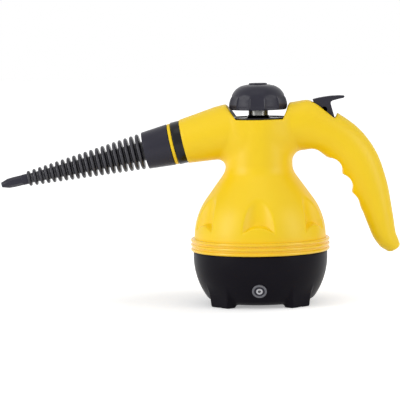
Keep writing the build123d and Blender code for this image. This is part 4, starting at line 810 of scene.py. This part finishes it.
# A tapered grip with a spigot behind it and two bayonet lugs on the spigot
def makeCoupler():
    s = couplerForm
    place = outFrame()
    bm = bmesh.new()
    lathe(bm, rounded([
        (s["spigotBore"], s["spigotBack"]), (s["spigot"], s["spigotBack"], 0.6),
        (s["spigot"], s["coreBack"]), (s["core"], s["coreBack"]), (s["core"], s["back"]),
        (s["radius"], s["back"], 0.7), (s["endRadius"], s["front"], 0.9), (s["seat"], s["front"]),
        (s["seat"], s["seatBack"]), (s["tube"], s["seatBack"]), (s["tube"], s["spigotFloor"]),
        (s["spigotBore"], s["spigotFloor"]),
    ]), place, 128)
    order = range(s["lugSteps"] + 1)
    for start in s["lugStarts"]:
        rows = []
        for u in (s["lugBack"], s["lugFront"]):
            row = []
            for radius, steps in ((s["lugInner"], order), (s["lugOuter"], order[::-1])):
                for k in steps:
                    a = math.radians(start + s["lugSweep"] * k / s["lugSteps"])
                    corner = Vector((radius * math.sin(a), radius * math.cos(a), u))
                    row.append(bm.verts.new(place @ corner))
            rows.append(row)
        count = len(rows[0])
        for k in range(count):
            bm.faces.new((rows[0][k], rows[0][(k + 1) % count], rows[1][(k + 1) % count], rows[1][k]))
        bm.faces.new(rows[0][::-1])
        bm.faces.new(rows[1])
    finishPiece(bm, "nozzleCoupler", charcoalAbs, "nozzle", ("nozzle_coupler",), sharp=40.0)


makeCoupler()

# The finned body
finForm = dict(
    count=20, first=46.9, last=167.0, firstRadius=18.9, lastRadius=8.2, tip=1.75, tipLoss=0.12,
    arc=(0, 22, 45, 68, 90, 112, 135, 158, 180), flank=[(0.0, 0.75), (0.35, 0.3)], flankHigh=0.2,
    back=41.5, front=169.4, coreFirst=10.3, coreLast=5.0, tube=3.1, root=9.0, rootBack=36.0,
)


# Twenty round-edged fins on a tapering core, all in one profile
def makeFins():
    s = finForm
    profile = [
        (s["tube"], s["rootBack"]), (s["root"], s["rootBack"]), (s["root"], s["back"]),
        (s["coreFirst"], s["back"]),
    ]
    pitch = (s["last"] - s["first"]) / (s["count"] - 1)
    for k in range(s["count"]):
        middle = s["first"] + k * pitch
        share = k / (s["count"] - 1)
        reach = s["firstRadius"] + share * (s["lastRadius"] - s["firstRadius"])
        far = (middle - s["back"]) / (s["front"] - s["back"])
        core = s["coreFirst"] + far * (s["coreLast"] - s["coreFirst"])
        half = s["tip"] * (1.0 - s["tipLoss"] * share)
        flank = [(core + up, half + away) for up, away in s["flank"]]
        flank.append((core + s["flankHigh"] * (reach - core), half))
        profile += [(radius, middle - away) for radius, away in flank]
        for degrees in s["arc"]:
            a = math.radians(degrees)
            profile.append((reach - half + half * math.sin(a), middle - half * math.cos(a)))
        profile += [(radius, middle + away) for radius, away in flank[::-1]]
    profile += [(s["coreLast"], s["front"]), (s["tube"], s["front"])]
    bm = bmesh.new()
    lathe(bm, profile, outFrame(), 96)
    finishPiece(bm, "finnedNozzle", charcoalNylon, "nozzle", ("finned_nozzle",), sharp=50.0)


makeFins()

# The tip
tipForm = dict(
    tube=1.8, spigot=3.0, spigotBack=160.4, collar=5.6, collarBack=168.6, collarFront=175.0,
    core=4.7, coreFront=190.5, end=nozzleLong, endRadius=2.6, hole=1.1, holeBack=178.0,
    hexagons=[(175.1, 5.35), (184.5, 5.35), (190.5, 4.95), (197.2, 2.75)],
)


# A turned collar and bore inside a six-sided sleeve that narrows to the end
def makeTip():
    s = tipForm
    place = outFrame()
    bm = bmesh.new()
    lathe(bm, rounded([
        (s["tube"], s["spigotBack"]), (s["spigot"], s["spigotBack"]), (s["spigot"], s["collarBack"]),
        (s["collar"], s["collarBack"], 0.4), (s["collar"], s["collarFront"], 0.5),
        (s["core"], s["collarFront"] + 0.2), (s["core"], s["coreFront"]),
        (s["endRadius"] + 0.1, s["end"], 0.5), (s["hole"], s["end"], 0.3), (s["hole"], s["holeBack"]),
        (s["tube"], s["holeBack"]),
    ]), place, 48)
    turns = [math.radians(60 * k + 30) for k in range(6)]
    rings = []
    for u, radius in s["hexagons"]:
        corners = [Vector((radius * math.cos(a), radius * math.sin(a), u)) for a in turns]
        rings.append([bm.verts.new(place @ corner) for corner in corners])
    for a, b in zip(rings, rings[1:]):
        for k in range(6):
            bm.faces.new((a[k], a[(k + 1) % 6], b[(k + 1) % 6], b[k]))
    bm.faces.new(rings[0][::-1])
    bm.faces.new(rings[-1])
    finishPiece(bm, "nozzleTip", charcoalAbs, "nozzle", ("nozzle_tip",), sharp=25.0)


makeTip()
print("stage: nozzle")

# Finishes of the CAD nodes that stay
finishes = {
    zincPlate: [
        "shell_screws", "base_screws", "boiler_bolts", "boiler_nuts", "thermostat_screws", "clamp_screws",
        "trigger_pin", "valve_stem", "nozzle_tube", "fuse_clip", "valve_spring", "relief_spring",
        "hose_clamps", "heating_element",
    ],
    castAluminium: ["boiler_bottom", "boiler_top"],
    turnedBrass: ["cap_plug", "relief_pin", "valve_body", "valve_plug", "steam_elbow", "outlet_pipe"],
    sealRubber: ["boiler_gasket", "cord_bushing", "cap_gasket", "stem_seal", "socket_seal"],
    hoseSilicone: ["inlet_hose", "outlet_hose"],
    whiteNylon: ["thermostat", "thermal_fuse", "terminal_block", "cord_clamp"],
    leadSleeve: ["lead_wires"],
    smokedPolycarbonate: ["indicator_lamp"],
}
for material, names in finishes.items():
    for name in names:
        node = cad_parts[name]
        node.data.materials.clear()
        node.data.materials.append(material)
print("stage: finishes")

# Light and camera. One for the rays that see the plain background, so that metal and gloss show it too
def backgroundRays(tree):
    seen = addNode(tree, "ShaderNodeLightPath").outputs
    rays = seen["Is Camera Ray"]
    for name in ("Is Glossy Ray", "Is Transmission Ray"):
        rays = addNode(tree, "ShaderNodeMath", {0: rays, 1: seen[name]}, operation="MAXIMUM").outputs[0]
    return rays


# The pale floor, in metres, which brightens to white away from the object's shadow
floorForm = dict(colour="f4f4f4", half=8.0, nearGlow=0.36, farGlow=0.7, nearReach=0.075, farReach=0.27)


# A matt plane with a glow that only the rays of the background see
def makeFloor():
    s = floorForm
    bm = bmesh.new()
    bmesh.ops.create_grid(bm, x_segments=1, y_segments=1, size=s["half"])
    mesh = bpy.data.meshes.new("floor")
    bm.to_mesh(mesh)
    bm.free()
    floor = bpy.data.objects.new("floor", mesh)
    bpy.context.scene.collection.objects.link(floor)
    paper = bpy.data.materials.new("backgroundPaper")
    paper.use_nodes = True
    tree = paper.node_tree
    tree.nodes.clear()
    matt = addNode(tree, "ShaderNodeBsdfDiffuse", {"Color": toLinear(s["colour"])})
    place = addNode(tree, "ShaderNodeTexCoord").outputs["Object"]
    away = addNode(tree, "ShaderNodeVectorMath", {0: place}, operation="LENGTH")
    reach = addNode(tree, "ShaderNodeMapRange", {
        "Value": away.outputs["Value"], "From Min": s["nearReach"], "From Max": s["farReach"],
        "To Min": s["nearGlow"], "To Max": s["farGlow"],
    })
    glow = addNode(tree, "ShaderNodeMath", {
        0: backgroundRays(tree), 1: reach.outputs["Result"],
    }, operation="MULTIPLY")
    light = addNode(tree, "ShaderNodeEmission", {"Strength": glow.outputs[0]})
    both = addNode(tree, "ShaderNodeAddShader", {0: matt.outputs[0], 1: light.outputs[0]})
    addNode(tree, "ShaderNodeOutputMaterial", {"Surface": both.outputs[0]})
    floor.data.materials.append(paper)


makeFloor()

# White behind the object, and a dimmer white light from all round
skyForm = dict(colour="ffffff", light=0.53, seen=1.0)


def makeSky():
    s = skyForm
    world = bpy.data.worlds.new("studio")
    bpy.context.scene.world = world
    world.use_nodes = True
    tree = world.node_tree
    tree.nodes.clear()
    level = addNode(tree, "ShaderNodeMapRange", {
        "Value": backgroundRays(tree), "To Min": s["light"], "To Max": s["seen"],
    })
    sky = addNode(tree, "ShaderNodeBackground", {
        "Color": toLinear(s["colour"]), "Strength": level.outputs[0],
    })
    addNode(tree, "ShaderNodeOutputWorld", {"Surface": sky.outputs[0]})


makeSky()

# Three soft studio lamps in metres and watts: name, place, size and power
lampForm = dict(
    aim=(0.0, 0.0, 0.12),
    lamps=[
        ("keyLamp", (-1.45, -0.85, 0.65), (0.7, 1.25), 13.2),
        ("fillLamp", (1.4, -0.7, 0.6), (0.6, 1.15), 6.5),
        ("topLamp", (0.0, -0.5, 1.6), (1.1, 0.8), 2.0),
    ],
)


def makeLamps():
    s = lampForm
    for name, spot, size, power in s["lamps"]:
        data = bpy.data.lights.new(name, "AREA")
        data.shape = "RECTANGLE"
        data.size, data.size_y, data.energy = size[0], size[1], power
        lamp = bpy.data.objects.new(name, data)
        lamp.location = spot
        lamp.rotation_mode = "QUATERNION"
        lamp.rotation_quaternion = (Vector(s["aim"]) - Vector(spot)).to_track_quat("-Z", "Y")
        bpy.context.scene.collection.objects.link(lamp)


makeLamps()

# The camera at the photograph's angle, in millimetres and degrees
cameraForm = dict(
    azimuth=3.0, elevation=4.8, distance=2336.0, target=(-62.6, 0.0, 108.99), roll=-1.0,
    lens=200.25, sensor=36.0, clip=(0.1, 50.0),
)


def makeCamera():
    s = cameraForm
    data = bpy.data.cameras.new("camera")
    data.sensor_width, data.lens = s["sensor"], s["lens"]
    data.clip_start, data.clip_end = s["clip"]
    camera = bpy.data.objects.new("camera", data)
    bpy.context.scene.collection.objects.link(camera)
    azimuth, elevation = math.radians(s["azimuth"]), math.radians(s["elevation"])
    target = Vector(s["target"]) + Vector((bodyX, 0.0, 0.0))
    flat = math.cos(elevation)
    back = Vector((math.sin(azimuth) * flat, -math.cos(azimuth) * flat, math.sin(elevation)))
    camera.location = (target + back * s["distance"]) * mm
    camera.rotation_mode = "QUATERNION"
    roll = Quaternion((0, 0, 1), math.radians(s["roll"]))
    camera.rotation_quaternion = (-back).to_track_quat("-Z", "Y") @ roll
    bpy.context.scene.camera = camera
    bpy.context.scene.view_settings.view_transform = "Standard"


makeCamera()
print("stage: floor, light and camera")
